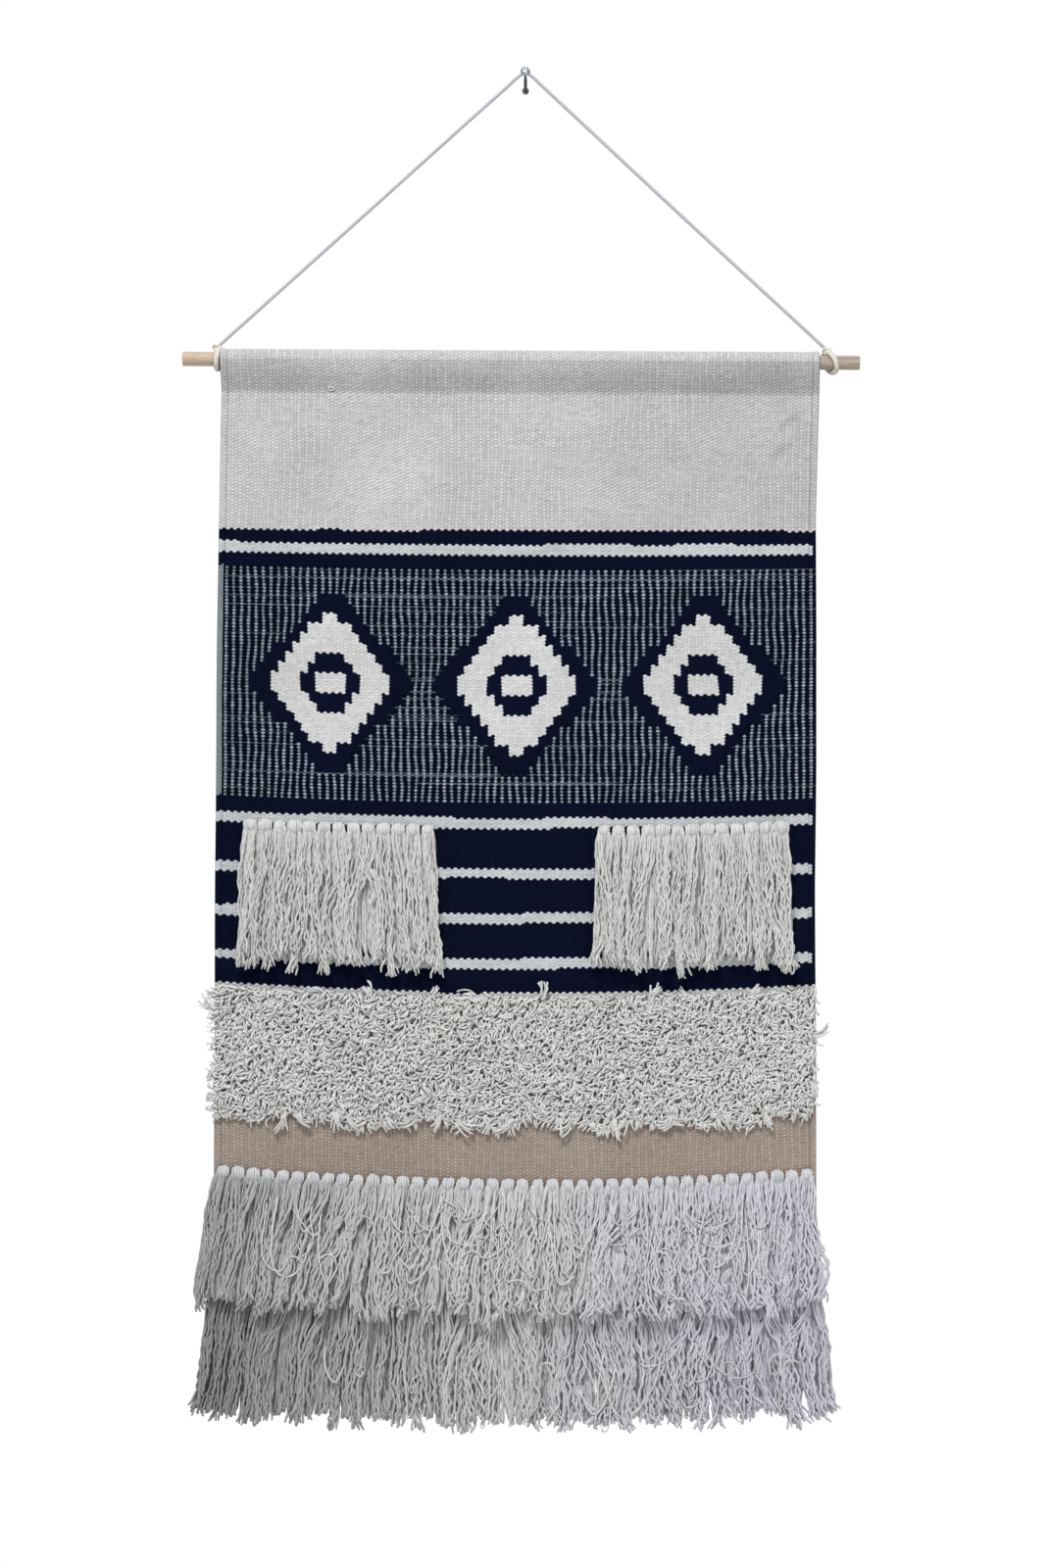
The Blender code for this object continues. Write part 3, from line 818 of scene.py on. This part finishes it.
def with_wear_and_shade(look, at, made, tone, height):
    """The brightness and the height with the marks of making and use, and painted shade on the pocket, the
    right side, nicks, the selvedge grooves and creases.
    """
    below_top = at.v > POCKET_TOP
    # painted shade: the cloth above the navy band grows darker towards its right side
    painted_right_shade = ((at.u - 0.28) * 9.0).clamp() * below_top * (at.v < NAVY_BANDS[0])
    pocket = below_top * (at.v < SEAM_DEPTH + 0.0008)
    tone = tone * (1.02 - 0.09 * painted_right_shade)
    # painted shade: the pocket is darker, and most so in its lower part, which leans in towards the seam
    tone = tone * (1.0 - pocket * (0.115 + 0.055 * ((at.v - 0.017) * 110.0).clamp()))
    blotch = (at.cloudy - 0.5 + (at.speck - 0.5) * 0.6) * made.light * 0.34
    tone = tone * (1.0 + (pocket * 0.7 + 0.3) * blotch)
    tone = tone * (0.93 + 0.14 * at.chance) * (0.84 + 0.32 * at.streak)
    tone = tone * (0.90 + 0.20 * at.cloudy) * (0.85 + 0.30 * at.speck)
    uphill, aside = turned(at.u, at.v, 0.89, 0.45)
    # painted shade: short slanting nicks darken the light weft, with no bump of their own
    nick_shade = look.noise((uphill * 150.0, aside * 620.0 + 5.0), roughness=0.6)
    tone = tone * (1.0 - 1.25 * (nick_shade - 0.55).clamp(0.2) * made.light)
    # painted shade: the groove beside each selvedge cord is darker
    groove = abs(at.u.least(WIDTH - at.u) / WARP - GROOVE_AT) * 3.2
    tone = tone * (0.72 + 0.28 * groove.least(1.0))
    for middle_u, middle_v in CREASES:
        along, beside = turned(at.u - middle_u, at.v - middle_v, 0.8, 0.6)
        along, beside = along / CREASE_SIZE[0], beside / CREASE_SIZE[1]
        crease = (1.0 - along * along - beside * beside).most(0.0)
        height = height - crease * crease * 0.0010
        # painted shade: each crease darkens the colour as well as denting the cloth
        tone = tone * (1.0 - crease * (0.10 + 0.5 * (at.speck - 0.5)))
    return tone, height


# %% Weave finish
def woven(name):
    """The whole cloth's finish."""
    look = Look(name, {"Roughness": 0.95, "Specular IOR Level": 0.04})
    at = bead_at(look)
    made = pattern_at(look, at)
    tone, height = with_wear_and_shade(look, at, made, *bead_shade_and_height(look, at, made))
    return look.finish(look.shaded(weft_colour(look, at, made), tone), height)


cloth.data.materials.append(woven("cloth_weave"))
print("weave:", WARPS, "warps", round(WARP * 1000, 2), "mm apart")


# %% [markdown]
# ## Knots and tassels
# Each tassel is a bunch of yarns laid over the cloth's face and pulled through behind one warp pair,
# so its head is a round pad of parallel yarns and its ends hang free below. A fur system would make
# the ends quickly, but nothing in it knows about locks, crossings and curled tips. Here the back yarns
# of a knot hang side by side and close the row, and the others hang in front in two locks. The yarns
# of a lock wind round one path and end together, a lock may sweep across its neighbours, and every
# yarn adds waves of its own. Last, single thin ends arch and curl over the whole tier.

# %% Helpers for rows of yarn
def dress(piece, look, slot, *nodes):
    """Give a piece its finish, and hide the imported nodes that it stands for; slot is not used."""
    piece.data.materials.append(look)
    if nodes:
        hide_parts(*nodes)
    return piece


def drawer(rng, count):
    """A function that draws a number for each of count yarns."""
    return lambda least, most: rng.uniform(least, most, count)[:, None]


def knot_row(ends, depth, knots):
    """Each knot's place in its row, 0 to 1, its share of the cloth's width, and the knots' pitch."""
    place = (np.arange(knots) + 0.5) / knots
    pitch = (across(ends[1], depth) - across(ends[0], depth)) / knots
    return place, ends[0] + place * (ends[1] - ends[0]), pitch


def flare(rows, share, drop):
    """How far a fringe that widens downwards pushes its yarns sideways."""
    drops, _, _, left, right = np.array(rows).T
    return share * np.interp(drop, drops, right) - (1 - share) * np.interp(drop, drops, left)


# %% Knots
KNOT_MIDDLE = 0.0052        # below the row's depth
KNOT_HALF = 0.0045
KNOT_OUT = 0.0050
KNOT_PITCH = 0.0122         # that the yarns' spacing is set for


def make_knots(name, depth, ends, knots, yarns, spacing, radius, seed, look, sides=6, steps=9):
    """The heads of a row of tassels: parallel yarns over a pad that narrows to its neck."""
    rng = np.random.default_rng(seed)
    _, share, pitch = knot_row(ends, depth, knots)
    turn = np.linspace(math.radians(-104), math.radians(100), steps)
    sine, cosine = np.sin(turn), np.cos(turn)
    index = (np.arange(yarns) - (yarns - 1) / 2)[None, :, None]
    edge = (np.abs(index) / (yarns / 2)) ** 2.2
    size = 1 + rng.normal(0, 0.08, (knots, 1, 1))
    down = KNOT_HALF * sine * size + rng.normal(0, 0.00035, (knots, yarns, 1))
    down = down * (1 - np.where(sine < 0, 0.42, 0.16) * edge)
    out = 0.0014 + KNOT_OUT * np.maximum(cosine, -0.2) ** np.where(cosine > 0, 0.8, 1) * size
    out = out + rng.normal(0, 0.00022, (knots, yarns, 1))
    out = np.maximum(out * (1 - 0.34 * edge), -0.0002)
    narrow = 1 - 0.17 * np.maximum(sine, 0) ** 2 - 0.20 * np.maximum(-sine, 0) ** 3
    x = index * spacing * narrow + rng.normal(0, 0.00012, (knots, yarns, 1))
    lean = rng.normal(0, 0.08, (knots, 1, 1))
    x = across(share, depth)[:, None, None] + x * pitch / KNOT_PITCH * size + lean * down
    lines = off_face(x, share[:, None, None], depth, KNOT_MIDDLE + down, out).reshape(-1, steps, 3)
    return dress(make_yarns(name, lines, radius, sides), look, "fringe_cotton")


# %% Tassels
NECK = 0.0062               # below the row's depth, where the free ends start
NECK_OUT = 0.0048


def make_tassels(name, node, depth, ends, knots, lock_yarns, rows, wild, seed, t, look, radius=0.00118):
    """The free ends below a row of knots, between the inner and outer faces that rows gives.

    Behind, each knot's back yarns hang side by side and close the row. In front, its other yarns
    hang in locks: the yarns of a lock wind loosely round one path and end together. wild says how
    unruly they are along the row, and t where each yarn has its points, from 0 to 1."""
    rng = np.random.default_rng(seed)
    each = BACK_YARNS + LOCKS * lock_yarns
    knot = np.repeat(np.arange(knots), each)
    order = np.tile(np.arange(each), knots)[:, None]
    in_lock = order >= BACK_YARNS
    lock = np.maximum(order - BACK_YARNS, 0) // lock_yarns
    place, share, pitch = knot_row(ends, depth, knots)
    place, share = place[knot][:, None], share[knot][:, None]
    drops, inner, outer = np.array(rows).T[:3]
    chaos = np.interp(place, np.linspace(0, 1, len(wild)), wild)
    t = np.asarray(t)[None]
    uneven = drawer(rng, len(knot))

    def of_lock(lowest, highest, alike=0.5):
        """One number for each lock, of which neighbours share the part alike."""
        own = rng.uniform(lowest, highest, (knots, LOCKS))
        shared = np.convolve(rng.uniform(lowest, highest, knots + 4), (0.1, 0.25, 0.3, 0.25, 0.1), "valid")
        return (alike * shared[:, None] + (1 - alike) * own)[knot[:, None], lock]

    def waves(size, shortest, longest):
        """Sideways waves of every yarn's own."""
        beat = drop / uneven(shortest, longest) + 0.3 * np.sin(drop / uneven(0.008, 0.03) + uneven(0, 6))
        return size * np.sin(2 * math.pi * (beat + uneven(0, 1)))

    # how far down each yarn reaches
    longest = drops[-1] - NECK
    length = longest - 0.004 + of_lock(-0.015, 0.008, 0.35) + uneven(-0.003, 0.002)
    behind = np.minimum(length, longest - 0.009 + uneven(-0.004, 0.001))
    drop = NECK + np.where(in_lock, length, behind) * t

    # the path of each lock, and each yarn's way round it
    lean = of_lock(-0.125, 0.125, 0.6) * (0.45 + 0.6 * chaos)
    sweep = rng.uniform(-0.030, 0.020, (knots, LOCKS)) * (rng.uniform(0, 1, (knots, LOCKS)) < 0.3)
    sweep = (sweep[knot[:, None], lock] - 0.008 * (place < 0.3) * (place > 0.1)) * chaos
    room = np.clip(np.where(sweep < 0, place, 1 - place) * 7, 0.1, 1)
    swept = np.clip((t - of_lock(0.02, 0.25)) / of_lock(0.35, 0.70), 0, 1)
    wave = of_lock(0.0008, 0.0026, 0.2) * (0.5 + 0.6 * chaos) * np.minimum(t * 3, 1)
    beat = drop / of_lock(0.045, 0.105, 0.3) + of_lock(0, 1, 0.4)
    path = sweep * room * swept ** 2 * (3 - 2 * swept) + lean * drop + wave * np.sin(2 * math.pi * beat)
    middle = ((lock + 0.5) / LOCKS - 0.5) * pitch * (0.92 - 0.15 * t)
    half_width = np.interp(t, (0, 0.12, 0.55, 0.9, 1), (0.0026, 0.0040, 0.0046, 0.0036, 0.0038))
    angle = uneven(0, 2 * math.pi) + of_lock(-3.4, 3.4, 0.2) * t
    from_middle = np.sqrt(uneven(0.05, 1))
    side = ((order % BACK_YARNS + uneven(0.40, 0.60)) / BACK_YARNS - 0.5) * pitch
    x = np.where(in_lock, middle + path + from_middle * half_width * np.cos(angle), side + 0.04 * path)
    loose = (0.5 + 0.65 * chaos) * np.minimum(t * 3.5, 1) * np.where(in_lock, 1, 0.25)
    x = x + waves(uneven(0.0003, 0.0017) * loose, 0.026, 0.055)
    x = x + waves(uneven(0.0003, 0.0011) * loose, 0.0085, 0.016)
    bend = np.maximum(0, (t - 0.82) / 0.18) ** 1.5
    x = x + (of_lock(-0.0045, 0.0045, 0.2) + uneven(-0.0046, 0.0046)) * bend * (0.5 + 0.6 * chaos)
    x = across(share, depth) + x * np.interp(drop, (0.006, 0.0115), (0.74, 1.0)) + flare(rows, place, drop)

    # how far it stands out, between the faces that rows gives
    level = of_lock(0.42, 0.80, 0.0) + 0.12 * (np.abs(sweep) > 0.006) + 0.30 * from_middle * np.sin(angle)
    level = np.where(in_lock, level, uneven(0.0, 0.16)) + waves(0.07, 0.012, 0.03)
    level = np.clip(level + uneven(-0.25, 0.40) * bend * in_lock, 0.0, 1.1)
    low, high = np.interp(drop, drops, inner) + 0.0012, np.interp(drop, drops, outer) - 0.0006
    out = NECK_OUT + np.minimum(t / 0.12, 1.0) * (low + level * (high - low) - NECK_OUT)
    hook = np.maximum(of_lock(-0.006, 0.010, 0.1) + uneven(-0.002, 0.003), 0) * chaos * in_lock
    lines = off_face(x, share, depth, drop - hook * bend, out)
    thick = radius * uneven(0.84, 1.12) * np.where(in_lock, 1.0, 1.7)
    thick = thick * (1 + 0.08 * np.sin(t * uneven(20, 60) + uneven(0, 6))) * np.where(t > 0.98, 0.8, 1.0)
    return dress(make_yarns(name, lines, thick[..., None], 3), look, "fringe_cotton", node)


# %% Single ends that have sprung out
STRAY_RADIUS = 0.00080


def make_strays(name, depth, rows, number, towards, highest, seed):
    """Thin single ends that arch and curl across the face of a tier.

    Below 1, towards puts more of them at the right end. None starts higher than highest."""
    rng = np.random.default_rng(seed)
    uneven = drawer(rng, number)
    drops, _, outer = np.array(rows).T[:3]
    t = np.linspace(0, 1, 24)[None]
    share = 0.04 + 0.90 * uneven(0, 1) ** towards
    inward = np.where(share > 0.82, -1, np.where(share < 0.15, 1, rng.choice([-1, 1], (number, 1))))
    reach, back = uneven(0.008, 0.040) * inward, uneven(0.50, 0.95)
    top = highest + uneven(0.0, 0.030)
    arch = np.sin(math.pi * back * t) / np.sin(math.pi * np.minimum(back, 0.5))
    arch_x = reach * t ** uneven(0.8, 1.6)
    arch_x = arch_x + uneven(0.001, 0.004) * np.sin(2 * math.pi * (t * uneven(0.8, 2.2) + uneven(0, 1)))
    arch_drop = top + uneven(0.015, 0.075) * arch
    turn = uneven(0, 6) + uneven(3.6, 6.0) * inward * t
    curl = uneven(0.0030, 0.0080)
    curl_x = curl * np.cos(turn) * (1 - 0.3 * t) + reach * 0.3 * t
    curl_drop = top + uneven(0.010, 0.070) + curl * np.sin(turn) * uneven(0.8, 1.5)
    curls = uneven(0, 1) < 0.35
    drop = np.minimum(np.where(curls, curl_drop, arch_drop), drops[-1] - 0.004)
    x = across(share, depth) + np.where(curls, curl_x, arch_x) + flare(rows, share, drop)
    out = np.interp(drop, drops, outer) + 0.0009 * np.sin(math.pi * t * uneven(1, 3))
    lines = off_face(x, share, depth, drop, out - 0.006 * (2 * t - 1) ** 8)
    thick = STRAY_RADIUS * uneven(0.8, 1.15)[..., None]
    return dress(make_yarns(name, lines, thick, 3), stray_look, "fringe_cotton")


# %% The two tiers at the foot
# Each row: how far down, the inner and the outer face, and how much wider at the left and the right.
UPPER_ROWS = ((0.000, 0.0000, 0.0045, 0.000, 0.000), (0.005, 0.0000, 0.0092, 0.001, 0.000),
              (0.010, 0.0000, 0.0070, 0.003, 0.000), (0.035, 0.0025, 0.0130, 0.008, 0.001),
              (0.074, 0.0104, 0.0195, 0.014, 0.004), (0.121, 0.0110, 0.0205, 0.023, 0.009))
LOWER_ROWS = ((0.000, 0.0000, 0.0045, 0.000, 0.000), (0.005, 0.0000, 0.0088, 0.001, 0.001),
              (0.010, 0.0000, 0.0070, 0.003, 0.003), (0.040, 0.0000, 0.0095, 0.009, 0.008),
              (0.085, 0.0000, 0.0120, 0.014, 0.015), (0.134, 0.0005, 0.0120, 0.020, 0.021))
FULL_WIDTH = (0.004, 0.996)
EVEN_STEPS = np.linspace(0, 1, 34)
COVERED_STEPS = np.concatenate([(0, 0.08, 0.16, 0.24, 0.32), np.linspace(0.38, 1, 23)])
stitches.data.materials.append(knot_look)
on_cloth = [
    stitches,
    make_knots("knots_upper", UPPER_DEPTH, FULL_WIDTH, KNOTS, yarns=5, spacing=0.00196, radius=0.00122,
               seed=11, look=knot_look),
    make_tassels("tassels_upper", "fringe_upper", UPPER_DEPTH, FULL_WIDTH, KNOTS, TIER_LOCK, UPPER_ROWS,
                 wild=(0.45, 0.75, 0.95, 1.25, 1.4), seed=12, t=EVEN_STEPS, look=upper_look),
    make_strays("strays_upper", UPPER_DEPTH, UPPER_ROWS, 80, towards=0.7, highest=0.010, seed=15),
    make_knots("knots_lower", LOWER_DEPTH, FULL_WIDTH, KNOTS, yarns=5, spacing=0.00200, radius=0.00122,
               seed=13, look=knot_look, sides=5, steps=7),
    make_tassels("tassels_lower", "fringe_lower", LOWER_DEPTH, FULL_WIDTH, KNOTS, TIER_LOCK, LOWER_ROWS,
                 wild=(0.4, 0.55, 0.95, 1.2, 1.15), seed=14, t=COVERED_STEPS, look=lower_look),
    make_strays("strays_lower", LOWER_DEPTH, LOWER_ROWS, 34, towards=0.45, highest=0.044, seed=16),
]

# %% The two patches on the face
PATCH_ROWS = ((0.000, 0.0000, 0.0045, 0.000, 0.000), (0.005, 0.0000, 0.0092, 0.000, 0.000),
              (0.010, 0.0000, 0.0070, 0.000, 0.000), (0.040, 0.0000, 0.0100, 0.001, 0.001),
              (0.090, 0.0010, 0.0125, 0.003, 0.003), (0.128, 0.0030, 0.0135, 0.005, 0.005))
for number, (side, ends) in enumerate((("left", (0.046, 0.366)), ("right", (0.634, 0.954)))):
    on_cloth += [
        make_knots("knots_patch_" + side, PATCH_DEPTH, ends, PATCH_KNOTS, yarns=6, spacing=0.00182,
                   radius=0.00118, seed=21 + number, look=yarn_look),
        make_tassels("tassels_patch_" + side, "fringe_patch_" + side, PATCH_DEPTH, ends, PATCH_KNOTS,
                     PATCH_LOCK, PATCH_ROWS, wild=(0.6, 0.8, 0.7), seed=31 + number, t=EVEN_STEPS,
                     look=yarn_look, radius=0.00100),
    ]

# %% [markdown]
# ## The pile
# The shaggy band is rows of short cut ends. Each end leaves the cloth upright, bends over and lies on
# the ones below it, mostly down and a little to the left. Displacing the cloth would give lumps and no
# ends, so the ends are made one by one, in two layers: low ones that close the ground, and higher ones
# that cross them. Longer bunches fan out over the band's edges and past the selvedges.

# %% Pile
PILE_TOP = 0.530
PILE_BOTTOM = 0.646
PILE_RADIUS = 0.00100
TUFT_RADIUS = 0.00090


def make_pile(name, seed, columns, rows, lowest, highest, steps=4):
    """Short bent ends in jittered rows, that rise to between the lowest and the highest."""
    rng = np.random.default_rng(seed)
    count = columns * rows
    column, row = np.divmod(np.arange(count), rows)
    share = (column + rng.uniform(0.0, 1.0, count)) / columns
    t = np.linspace(0, 1, steps)[None]
    uneven = drawer(rng, count)
    ragged = 0.0035 * np.sin(share * 31) + 0.0025 * np.sin(share * 77 + 2)
    down = (row + rng.uniform(0, 1, count)) / rows
    depth = PILE_TOP + 0.002 + down * (PILE_BOTTOM - PILE_TOP - 0.009 + ragged)
    drift = 19 * np.sin(share * 13 + 1) * np.cos(depth * 55) + 12 * np.sin(share * 41 + depth * 90)
    heading = np.radians(rng.normal(236, 20, count) + drift)[:, None]
    lay = uneven(0.0048, 0.0088)
    matted = 1 + 0.24 * np.sin(share * 29 + 2 + 60 * depth) * np.cos(depth * 120 + 4 * np.sin(share * 17))
    rise = uneven(lowest, highest) * (matted * np.interp(down, (0.85, 1), (1.0, 0.4)))[:, None]
    curl = uneven(-1.1, 1.1) * t
    ahead = lay * (0.35 * t + 0.65 * t ** 1.6)
    x = across(share, depth)[:, None] + ahead * np.cos(heading + curl)
    drop = -ahead * np.sin(heading + curl)
    out = 0.0009 + rise * np.sin(math.pi * 0.64 * t ** 0.7)
    lines = off_face(x, share[:, None], depth[:, None], drop, out)
    thick = PILE_RADIUS * uneven(0.85, 1.15) * np.interp(t, (0, 0.8, 1), (1, 1, 0.9))
    return dress(make_yarns(name, lines, thick[..., None], 3), pile_look, "pile_cotton")


# %% Tufts along the pile's edges
def make_tufts(name, seed, tufts=33, yarns=7, steps=9):
    """Bunches of longer ends that fan out over the pile's edges."""
    rng = np.random.default_rng(seed)
    tuft = np.repeat(np.arange(tufts), yarns)
    uneven = drawer(rng, len(tuft))

    def of_tuft(least, most):
        return rng.uniform(least, most, tufts)[tuft][:, None]

    along = ((np.arange(tufts) + rng.uniform(0, 1, tufts)) / tufts)[tuft][:, None]
    beside = (along < 0.08) | (along > 0.92)                            # a selvedge
    upper = (np.arange(tufts) % 3 == 2)[tuft][:, None] & ~beside        # the others: the lower edge
    share = np.where(beside, np.where(along < 0.5, 0.010, 0.990), along) + uneven(-0.004, 0.004)
    depth = np.select([upper, beside], [PILE_TOP + 0.005, PILE_TOP + of_tuft(0.01, 0.1)],
                      PILE_BOTTOM - 0.012) + uneven(-0.003, 0.003)
    towards = np.select([upper, beside], [of_tuft(10, 200), np.where(along < 0.5, 205, 335)],
                        of_tuft(238, 292))
    heading = np.radians(towards + uneven(-10, 10))
    t = np.linspace(0, 1, steps)[None]
    length = of_tuft(0.010, 0.017) * np.where(upper, 0.85, 1) * uneven(0.75, 1.1)
    ahead = length * (0.5 * t + 0.5 * t ** 1.5)
    turn = heading + (of_tuft(-1.0, 1.0) + uneven(-0.3, 0.3)) * t
    x = across(share, depth) + ahead * np.cos(turn)
    out = 0.001 + uneven(0.0028, 0.0050) * np.sin(math.pi * uneven(0.62, 0.78) * t ** 0.7)
    lines = off_face(x, share, depth, -ahead * np.sin(turn), out)
    thick = TUFT_RADIUS * uneven(0.85, 1.1)[..., None]
    return dress(make_yarns(name, lines, thick, 4), yarn_look, "pile_cotton")


on_cloth += [make_pile("pile_first_rows", 41, 120, 40, lowest=0.0022, highest=0.0044),
             make_pile("pile_second_rows", 42, 117, 41, lowest=0.0034, highest=0.0058)]
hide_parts("pile_band")
on_cloth.append(make_tufts("pile_tufts", 43))

# %% [markdown]
# ## Screw
# A domed screw carries the cord. A spiral cut from a rod would need exact cuts that rarely come out
# clean. Only its head and its thread are seen, so it is turned on a fine grid whose rings follow the
# thread, and the cross in its head is pressed in. Its rings close and unfold as a yarn's do.

# %% Screw
SCREW_TILT = math.radians(23)
WALL_END = -0.0019
SCREW_SIDES = 40
THREAD_END = 0.0185         # along the screw; it is plain from here to its head
THREAD_PITCH = 0.0013
THREAD_HEIGHT = 0.0004
HEAD_RADIUS = 0.0041
CROSS_DEPTH = 0.0011


def make_screw():
    """The threaded shank and the domed head with its cross."""
    profile = [(0.0010 if z < THREAD_END else 0.0012, z) for z in np.arange(0.0, 0.0285, 0.0002)]
    profile += [(0.0013, 0.0288), (0.0039, 0.0289), (HEAD_RADIUS, 0.0291), (HEAD_RADIUS, 0.0294)]
    profile += [(HEAD_RADIUS * math.cos(a), 0.0295 + 0.0022 * math.sin(a))
                for a in np.linspace(0.06, math.pi / 2 - 0.02, 16)]
    turn = np.arange(SCREW_SIDES) * 2 * math.pi / SCREW_SIDES
    rings = []
    for radius, z in profile:
        wave = np.abs(((z / THREAD_PITCH - turn / (2 * math.pi)) % 1.0) * 2 - 1)
        wide = radius + (z < THREAD_END) * THREAD_HEIGHT * np.clip(wave * 2.2 - 1.0, 0, 1)
        x, y = wide * np.cos(turn), wide * np.sin(turn)
        press = ((np.minimum(np.abs(x), np.abs(y)) < 0.00042) & (np.hypot(x, y) < 0.0023)) * (z > 0.0296)
        rings.append(np.stack([x, y, z - CROSS_DEPTH * press], axis=1))
    points = [tuple(p) for ring in rings for p in ring] + [(0, 0, 0), (0, 0, rings[-1][0][2] - 0.0001)]
    tilt = Matrix.Rotation(math.radians(90) - SCREW_TILT, 3, "X")
    placed = [tilt @ Vector(point) for point in points]
    placed = [(p.x, min(p.y, WALL_END), p.z) for p in placed]
    axis = np.array([[(0, 0, z) for _, z in profile]])
    return make_mesh("screw_threaded", placed, *yarn_faces(axis, SCREW_SIDES))


screw = make_screw()
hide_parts("screw")


# %% [markdown]
# ## Steel, plastic and wood
# The hard pieces are small, but each has its own grain. A flat colour would make them look like one
# plastic. Here the same few nodes do all three: fine mottle for zinc-plated steel, whose shank behind the
# head is painted dark as painted shade and reflection, a slight grain for the moulded plug, and noise
# stretched far along the rod for the streaks and pores of birch.

# %% Steel, plastic and wood
GREY_END = 0.2              # the rod is greyer and more streaked from here to its right end
NECK_PLACE = -0.0255        # in the shade behind the screw's head


def steel():
    """Zinc-plated steel, a little dull and uneven, its shank behind the head painted dark as painted shade
    and reflection.
    """
    look = Look("screw_steel", {"Metallic": 1.0})
    where = look.position()
    mottle = look.noise(where, 700.0, 3.0)
    shank = look.split(where)[1] > NECK_PLACE
    colour = look.mixed(mottle, shown(170, 178, 188), shown(214, 218, 224))
    # painted shade and reflection: the shank behind the head is painted nearly black
    colour = look.mixed(shank * 0.85, colour, shown(48, 52, 62))
    return look.finish(colour, mottle * 0.00004, 0.22 + 0.2 * mottle)


def plastic():
    """The wall plug's grey moulded plastic."""
    look = Look("plug_plastic", {"Metallic": 0.0})
    grain = look.noise(look.position(), 2500.0)
    colour = look.mixed(grain, shown(104, 106, 110), shown(132, 134, 138))
    return look.finish(colour, grain * 0.00002, 0.42 + 0.2 * grain)


def wood():
    """Pale birch: fine streaks along the rod, a few darker pores, and a greyer right end."""
    look = Look("dowel_birch", {"Specular IOR Level": 0.35})
    x, y, z = look.split(look.position())
    bend = look.noise((x * 9.0, y * 60.0, z * 60.0))
    streak = look.noise((x * 14.0, y * 420.0 + bend, z * 420.0), detail=4.0, roughness=0.6)
    pore = look.noise((x * 60.0, y * 1500.0, z * 1500.0))
    pores = (pore > 0.66) * (streak > 0.45)
    end = x > GREY_END
    colour = look.mixed(streak, shown(188, 162, 138), shown(216, 197, 176))
    colour = look.mixed(bend * 0.5, colour, shown(203, 181, 160))
    colour = look.mixed(pores * 0.35, colour, shown(160, 128, 98))
    colour = look.mixed(end * 0.55, colour, shown(204, 196, 188))
    colour = look.mixed(end * ((0.62 - streak) * 3.0).clamp(0.8), colour, shown(138, 122, 106))
    return look.finish(colour, streak * 0.00006 - pores * 0.00004, 0.50 + 0.2 * streak)


for name, finish in (("dowel", wood()), ("wall_plug", plastic())):
    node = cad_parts[name]
    if not node.material_slots:
        node.data.materials.append(finish)
    for slot in node.material_slots:
        slot.material = finish
screw.data.materials.append(steel())
print("hard pieces finished")

# %% [markdown]
# ## Floor and light
# A large soft light high in front, a little to the left, gives the ribs and yarns their shadows, and a
# bright room fills them. A weak light low on the right lifts the foot of the fringe, and a soft one
# behind shows the back. The floor is plain and pale and lies well below the hanging.

# %% Floor
FLOOR_RADIUS = 2.6
FLOOR_LEVEL = -2.05
floor_mesh = bpy.data.meshes.new("floor")
floor_mesh.from_pydata([(FLOOR_RADIUS * math.cos(a), FLOOR_RADIUS * math.sin(a), FLOOR_LEVEL)
                        for a in np.linspace(0, 2 * math.pi, 64, endpoint=False)], [], [tuple(range(64))])
floor = bpy.data.objects.new("floor", floor_mesh)
bpy.context.collection.objects.link(floor)
floor_look = Look("floor_pale", {"Roughness": 0.8})
cloudy = floor_look.noise(floor_look.position(), 6.0)
floor_look.finish(floor_look.mixed(cloudy, shown(228, 228, 226), shown(234, 234, 233)))
floor_mesh.materials.append(floor_look.material)
print("floor", -FLOOR_LEVEL, "m below the plug")


# %% Lights
def area_light(name, place, aim, size, power):
    """A square soft light at a place, turned to its aim."""
    data = bpy.data.lights.new(name, "AREA")
    data.size = size
    data.energy = power
    lamp = bpy.data.objects.new(name, data)
    lamp.location = place
    lamp.rotation_euler = (Vector(aim) - Vector(place)).to_track_quat("-Z", "Y").to_euler()
    bpy.context.collection.objects.link(lamp)


area_light("key_light", (-1.0, -3.2, 3.4), (0, 0, -0.55), 1.1, 200.0)
area_light("low_fill", (0.80, -1.0, -1.25), (0.2, 0, -1.05), 0.6, 3.0)
area_light("back_fill", (0.9, 3.2, 1.2), (0, 0, -0.55), 2.0, 60.0)

world = bpy.data.worlds.new("bright_room")
bpy.context.scene.world = world
world.use_nodes = True
tree = world.node_tree
room = tree.nodes["Background"]
backdrop = tree.nodes.new("ShaderNodeBackground")
for background, colour, strength in ((room, (0.97, 0.985, 1.0, 1.0), 0.38),
                                     (backdrop, (1.0, 1.0, 1.0, 1.0), 1.0)):
    background.inputs["Color"].default_value = colour
    background.inputs["Strength"].default_value = strength
seen = tree.nodes.new("ShaderNodeLightPath")
either = tree.nodes.new("ShaderNodeMixShader")
tree.links.new(seen.outputs["Is Camera Ray"], either.inputs[0])
tree.links.new(room.outputs[0], either.inputs[1])
tree.links.new(backdrop.outputs[0], either.inputs[2])
tree.links.new(either.outputs[0], tree.nodes["World Output"].inputs["Surface"])
bpy.context.scene.view_settings.view_transform = "Standard"
print("light is on")
